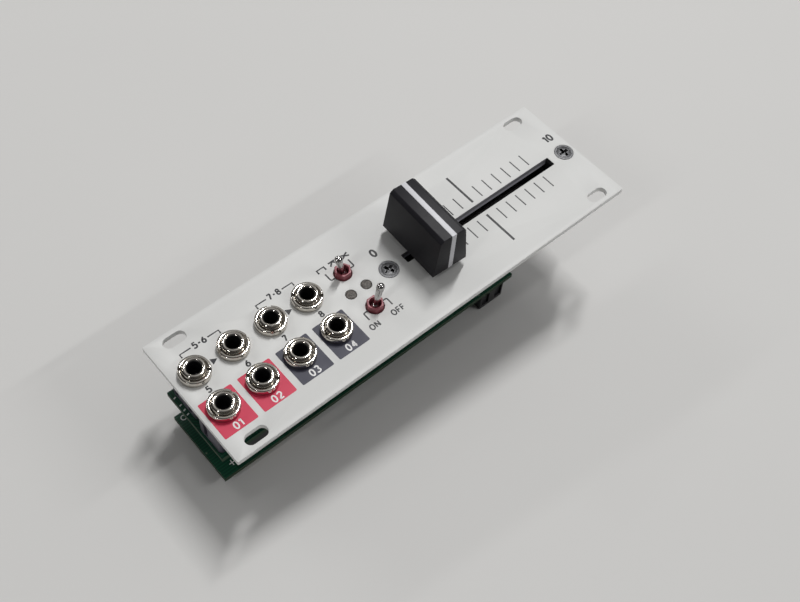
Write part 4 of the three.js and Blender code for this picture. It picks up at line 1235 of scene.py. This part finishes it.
def header(side, count):
    low, high = corners(f"header_pins_{side}")
    centre = (low + high) / 2
    form = bmesh.new()
    plate(form, strip_outline(centre, count), BOARD_HIGH.z, BOARD_HIGH.z + STRIP_HEIGHT)
    for x, y in grid(centre, count):
        pin(form, x, y, low.z + PIN_POINT, high.z - PIN_POINT)
    finishes, node = ["header_black", "pin_gold"], f"header_pins_{side}"
    finished(f"pins_{side}", form, finishes, stands_for=node)


def header_socket(side, count):
    node = f"header_socket_{side}"
    low, high = corners(node)
    form = bmesh.new()
    block(form, low, high, 0.18)
    half, bottom, top = SOCKET_HOLE_HALF, low.z - 0.5, low.z + SOCKET_HOLE_DEPTH
    holes = [
        ((x - half, y - half, bottom), (x + half, y + half, top))
        for x, y in grid((low + high) / 2, count)
    ]
    form = carved_by_blocks(form, *holes)
    finished(f"socket_{side}", form, ["header_black"], stands_for=node)


for side, count in (("near", 9), ("far", 5)):
    header(side, count)
    header_socket(side, count)
print("two headers")

# %% [markdown]
# The boxed power header is a shroud around two rows of five pins, so that its plug fits one way
# only. The box is hollowed first, then the key slot is cut through its right wall, and four shallow
# notches are cut in its sides. The cuts are made one after the other, because they overlap.

# %% Power header
BOX_WALL, BOX_FLOOR = 1.2, 2.6
KEY_HALF_WIDTH, KEY_DEPTH, KEY_STOP = 2.25, 2.0, 4.2
NOTCH_WIDTH, NOTCH_DEPTH, NOTCH_EDGE = 2.6, 0.6, 0.6
POWER_PIN_RISE = 5.4


def power_header():
    low, high = corners("power_header")
    centre = (low + high) / 2
    top = BOARD_LOW.z
    floor, mouth = top - BOX_FLOOR, low.z - 1
    form = bmesh.new()
    block(form, low, (high.x, high.y, top), 0.2)
    start = (low.x + BOX_WALL, low.y + BOX_WALL, mouth)
    end = (high.x - BOX_WALL, high.y - BOX_WALL, floor)
    form = carved_by_blocks(form, (start, end))
    start = (high.x - KEY_DEPTH, centre.y - KEY_HALF_WIDTH, mouth)
    end = (high.x + 1, centre.y + KEY_HALF_WIDTH, top - KEY_STOP)
    form = carved_by_blocks(form, (start, end))
    notches = [
        ((x, y - NOTCH_DEPTH, low.z + 1.3), (x + NOTCH_WIDTH, y + NOTCH_DEPTH, floor))
        for y in (low.y, high.y)
        for x in (low.x + NOTCH_EDGE, high.x - NOTCH_EDGE - NOTCH_WIDTH)
    ]
    form = carved_by_blocks(form, *notches)
    pin_top, board = high.z - PIN_POINT, BOARD_HIGH.z
    bead = [(0, pin_top), (0.42, high.z - 0.3), (0.6, board + 0.35), (0.9, board), (0, board)]
    for place in grid(centre, 5, along_x=False):
        pin(form, *place, floor - POWER_PIN_RISE + PIN_POINT, pin_top)
        turned(form, place, bead, 20, finish=2)
    finishes = ["header_black", "pin_gold", "solder"]
    return finished("power_box", form, finishes, stands_for="power_header")


power_box = power_header()
print("power header", [round(side / MM, 1) for side in power_box.dimensions], "mm")

# %% [markdown]
# ## Parts on the boards
# The lower board carries chips with bent legs and two capacitors. A leg is three small blocks: one
# out of the chip's side, one down to the board and one along it. A capacitor is a turned can with a
# groove near its foot, on a square base with two corners cut off.

# %% Chips and capacitors
LEG_PITCH, LEG_COUNT, LEG_HALF_WIDTH = 1.27, 7, 0.2
# The blocks of a leg: from and to, outwards from the chip's side, and from and to, under the board
LEG_BLOCKS = ((-0.1, 0.55, 0.85, 0.67), (0.4, 0.58, 0.85, 0.02), (0.42, 1.05, 0.2, 0.01))
CAN_RADIUS, BASE_HEIGHT, BASE_CUT = 3.15, 0.9, 1.2


def chip(number):
    node = f"chip_{number}"
    low, high = corners(node)
    centre = (low + high) / 2
    form = bmesh.new()
    block(form, low, (high.x, high.y, high.z - 0.15), 0.12)
    for leg in range(LEG_COUNT):
        x = centre.x + (leg - (LEG_COUNT - 1) / 2) * LEG_PITCH
        left, right = x - LEG_HALF_WIDTH, x + LEG_HALF_WIDTH
        for side, edge in ((-1, low.y), (1, high.y)):
            for start, end, bottom, top in LEG_BLOCKS:
                near = (left, edge + side * start, high.z - bottom)
                far = (right, edge + side * end, high.z - top)
                block(form, near, far, 0.03, 1, 1)
    dot = [(0, low.z - 0.5), (0.35, low.z - 0.5), (0.35, low.z + 0.12), (0, low.z + 0.12)]
    tool = bmesh.new()
    turned(tool, (low.x + 1.1, low.y + 1.0), dot, 24)
    finishes = ["chip_black", "solder"]
    finished(f"packaged_{node}", carved(form, tool), finishes, stands_for=node)


def capacitor(side):
    node = f"capacitor_{side}"
    low, high = corners(node)
    form = bmesh.new()
    outline = [(low.x, low.y), (high.x - BASE_CUT, low.y), (high.x, low.y + BASE_CUT)]
    outline += [(high.x, high.y - BASE_CUT), (high.x - BASE_CUT, high.y), (low.x, high.y)]
    base = high.z - BASE_HEIGHT
    plate(form, outline, base, high.z, finish=1)
    rim = ((0.35, low.z), (0.1, low.z + 0.1), (0, low.z + 0.35))
    groove = ((0, base - 1), (0.22, base - 0.8), (0.22, base - 0.6), (0, base - 0.4), (0, base))
    profile = [(CAN_RADIUS - inset, height) for inset, height in rim + groove]
    turned(form, ((low + high) / 2).xy, [(0, low.z), *profile, (0, base)])
    finished(f"can_{side}", form, ["can_metal", "header_black"], stands_for=node)


for number in (1, 2, 3):
    chip(number)
for side in ("near", "far"):
    capacitor(side)
print("three chips and two capacitors")

# %% [markdown]
# Rows of tiny resistors and capacitors fill the lower board. They repeat, so they are drawn from
# lists of places, five and four beside each chip and two past its end; a fixed seed keeps their
# slight scatter and their kinds the same on every run.

# %% Small surface parts
random.seed(7)
PART_HALF_LENGTH, PART_HALF_WIDTH, PART_HEIGHT = 0.5, 0.4, 0.45
TIN_MIDDLE, TIN_HALF_LENGTH, TIN_HALF_WIDTH = 0.7, 0.25, 0.42
SCATTER = 0.08


def surface_part(form, x, y, board, side, along, finish):
    """A resistor or capacitor with tinned ends; side is 1 on top of a board, -1 under it"""
    blocks = [(0, PART_HALF_LENGTH, PART_HALF_WIDTH, finish)]
    blocks += [(end * TIN_MIDDLE, TIN_HALF_LENGTH, TIN_HALF_WIDTH, 0) for end in (-1, 1)]
    for shift, half_length, half_width, kind in blocks:
        centre, half = Vector((shift, 0, 0)), Vector((half_length, half_width, 0))
        if along == "y":
            centre, half = centre.yxz, half.yxz
        centre += Vector((x, y, board))
        block(form, centre - half, centre + half + Vector((0, 0, side * PART_HEIGHT)), 0.04, 1, kind)


def scattered(name, board, side, places):
    form = bmesh.new()
    for x, y, along in places:
        kind = 1 if random.random() < 0.55 else 2
        x += random.uniform(-SCATTER, SCATTER)
        y += random.uniform(-SCATTER, SCATTER)
        surface_part(form, x, y, board, side, along, kind)
    finished(name, form, ["solder", "resistor_body", "ceramic_body"])
    print(name, len(places))


under = []
for number in (1, 2, 3):
    x, y, z = middle(f"chip_{number}")
    inwards = -1 if y > 0 else 1
    under += [(x - 3.8 + step * 1.9, y + inwards * 5.6, "y") for step in range(5)]
    under += [(x - 3.0 + step * 2.0, y + inwards * 8.6, "x") for step in range(4)]
    under += [(x + 5.9, y, "y"), (x + 5.9, y - inwards * 2.4, "y")]
scattered("parts_under_board", BOARD_LOW.z, -1, under)

over = []
for step in range(9):
    over.append((-58.0 + step * 3.1, -1.8 if step % 2 else 0.4, "x" if step % 3 else "y"))
for step in range(11):
    over.append((-30.0 + step * 4.3, 6.5 - (step % 4) * 4.4, "y" if step % 2 else "x"))
scattered("parts_over_board", BOARD_HIGH.z, 1, over)

# %% [markdown]
# White marks on the boards are printed too: frames round the parts, a cross and a ring near the
# lower board's left end, and four dashes at that end of the upper board. They are strokes like the
# panel's, moved to the face of the board they belong to.

# %% Board marks
CROSS_PLACE, CROSS_HALF = Vector((-61.7, -8.7)), 0.85
RING_PLACE, RING_RADIUS = (-63.9, 9.6), 0.7
DASH_X, DASH_HALF, DASH_RISE = -65.1, 0.35, 0.2
DASH_PLACES = (9.2, 6.6, 4.9, 3.4)
FRAMES = {f"chip_{number}": (4.9, 3.3) for number in (1, 2, 3)}
FRAMES.update({f"capacitor_{side}": (3.9, 3.8) for side in ("near", "far")})


def on_board(name, paths, width, level, side):
    form = lines(paths, width)
    lift = level - INK_TOP + INK_HEIGHT / 2 + side * 0.01
    bmesh.ops.translate(form, vec=(0, 0, lift), verts=form.verts)
    finished(name, form, ["white_ink"])


def frame_round(node):
    place, (half_x, half_y) = middle(node), FRAMES[node]
    signs = ((-1, -1), (1, -1), (1, 1), (-1, 1), (-1, -1))
    return [(place.x + u * half_x, place.y + v * half_y) for u, v in signs]


on_board("marks_under_board", [frame_round(node) for node in FRAMES], 0.18, BOARD_LOW.z, -1)
arms = [Vector((CROSS_HALF, 0)), Vector((0, CROSS_HALF))]
marks = [[tuple(CROSS_PLACE - arm), tuple(CROSS_PLACE + arm)] for arm in arms]
marks.append(arc(*RING_PLACE, RING_RADIUS, RING_RADIUS, steps=16))
on_board("marks_over_board", marks, 0.24, BOARD_HIGH.z, 1)
dashes = [[(DASH_X - DASH_HALF, y), (DASH_X + DASH_HALF, y + DASH_RISE)] for y in DASH_PLACES]
on_board("marks_upper_board", dashes, 0.36, corners("upper_board")[1].z, 1)
print("board marks")

# %% [markdown]
# ## The pieces that stay as the frame has them
# Boards, rails, channel, carriage and the rest keep their CAD shape and only get a finish.

# %% Finishes for the CAD nodes
KEPT = {
    "upper_board": "circuit_board",
    "lower_board": "circuit_board",
    "fader_frame": "channel_steel",
    "fader_rail_near": "rail_steel",
    "fader_rail_far": "rail_steel",
    "fader_carriage": "header_black",
    "fader_stem": "rail_steel",
    "fader_wiper": "pin_gold",
    "fader_track_board": "track_board",
    "fader_riser": "header_black",
    "toggle_housing_upper": "red_plastic",
    "toggle_housing_lower": "red_plastic",
}
for node, finish in KEPT.items():
    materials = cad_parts[node].data.materials
    materials.clear()
    materials.append(FINISHES[finish])
print(len(KEPT), "nodes kept from the CAD")

# %% [markdown]
# ## Table, lamps and surroundings
# The module lies on its back on a pale table. It rests on the power header at one end and on the
# tips of the header pins at the other, so it leans a few degrees. The frame follows the panel, so
# here the table is tilted instead.

# %% Table
REST_LEFT, REST_RIGHT = corners("header_pins_far")[0], corners("power_header")[0]
TABLE_LEAN = math.atan2(REST_LEFT.z - REST_RIGHT.z, REST_RIGHT.x - REST_LEFT.x)
TABLE_SIZE, TABLE_GAP = 6000, 0.02


def table_top():
    finish = Finish("table_top")
    colour = finish.mix(finish.noise(160, 3), shade(202, 201, 199), shade(197, 196, 194))
    finish.surface(colour, 0.6 + finish.noise(0.8) * 0.06, Specular_IOR_Level=0.25)


def table():
    form = bmesh.new()
    bmesh.ops.create_grid(form, x_segments=2, y_segments=2, size=TABLE_SIZE / 2)
    leaning = Matrix.Rotation(TABLE_LEAN, 4, "Y")
    foot = Matrix.Translation((REST_RIGHT.x, 0, REST_RIGHT.z - TABLE_GAP))
    bmesh.ops.transform(form, matrix=foot @ leaning, verts=form.verts)
    bmesh.ops.scale(form, vec=(MM, MM, MM), verts=form.verts)
    made = as_object("table", form)
    made.data.materials.append(FINISHES["table_top"])
    made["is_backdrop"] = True


table_top()
table()
print("table leans", round(math.degrees(TABLE_LEAN), 2), "degrees")

# %% [markdown]
# The room is a workshop with rows of ceiling tubes. The shadows in the photograph give four of them:
# a strong one nearly overhead, towards the far right, and three weaker ones lower down on other
# sides. Each is a long lamp, turned to lie more or less along the panel, so its shadows are sharp
# across its own length and soft along it. A lamp's place is written as how far it leans per unit of
# height.

# %% Lamps
LAMP_HEIGHT = 2.0
TUBE_LENGTH, TUBE_WIDTH = 1.1, 0.12
FULL_LIGHT = 0.96 * math.pi
# Name: lean along X, lean along Y, share of the light on the table, length against a tube's, and
# how far it is turned from the panel's length
TUBES = {
    "tube_overhead": (0.46, 0.28, 0.55, 0.85, 31),
    "tube_far": (-0.40, 1.40, 0.06, 1.6, 10),
    "tube_near": (1.00, -1.00, 0.09, 1.6, 0),
    "tube_left": (-1.15, -0.20, 0.07, 1.0, 0),
}


def tube(name, lean_x, lean_y, share, stretch, turn):
    """A lamp facing down, as strong as its share of the light asks for at its distance"""
    reach = Vector((lean_x, lean_y, 1)) * LAMP_HEIGHT
    data = bpy.data.lights.new(name, "AREA")
    data.shape = "RECTANGLE"
    data.size, data.size_y = TUBE_LENGTH * stretch, TUBE_WIDTH
    fall = reach.length**2 / (reach.normalized().z ** 2)
    data.energy = share * FULL_LIGHT * math.pi * fall
    made = in_scene(name, data)
    made.location = reach
    made.rotation_euler.z = math.radians(turn)


for name, settings in TUBES.items():
    tube(name, *settings)
print(len(TUBES), "tubes")

# %% [markdown]
# What shiny metal shows is the room, dark low on the left and bright high on the right. A ramp along
# a slant gives that, and the camera sees a plain pale backdrop instead, so the light on the module
# doesn't depend on the colour behind it.

# %% Room
# How bright the sky is along the slant, from its low end to its high end
ROOM_SLANT = (0.45, 0.0, 0.55)
ROOM = ((0.0, 0.05), (0.3, 0.07), (0.5, 0.2), (0.64, 0.5), (1.0, 0.5))
BEHIND_TABLE = shade(200, 199, 197)
room = Finish("room", world=True)
bpy.context.scene.world = room.holder
product = {"operation": "DOT_PRODUCT"}
height = room.node("ShaderNodeVectorMath", product, {0: room.place, 1: ROOM_SLANT}, output=1)
stops = [(position, (value, value, value, 1)) for position, value in ROOM]
sky = room.node("ShaderNodeValToRGB", {"stops": stops}, {0: height})
seen = room.node("ShaderNodeLightPath", output="Is Camera Ray")
light = room.node("ShaderNodeBackground", {}, {0: room.mix(seen, sky, BEHIND_TABLE)})
room.node("ShaderNodeOutputWorld", {}, {0: light})
bpy.context.scene.view_settings.view_transform = "Standard"
print("room with", len(ROOM), "levels of light")

# %% Sizes and finish
low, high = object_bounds()
print("dressed box in mm:", [round(side / MM, 2) for side in high - low])
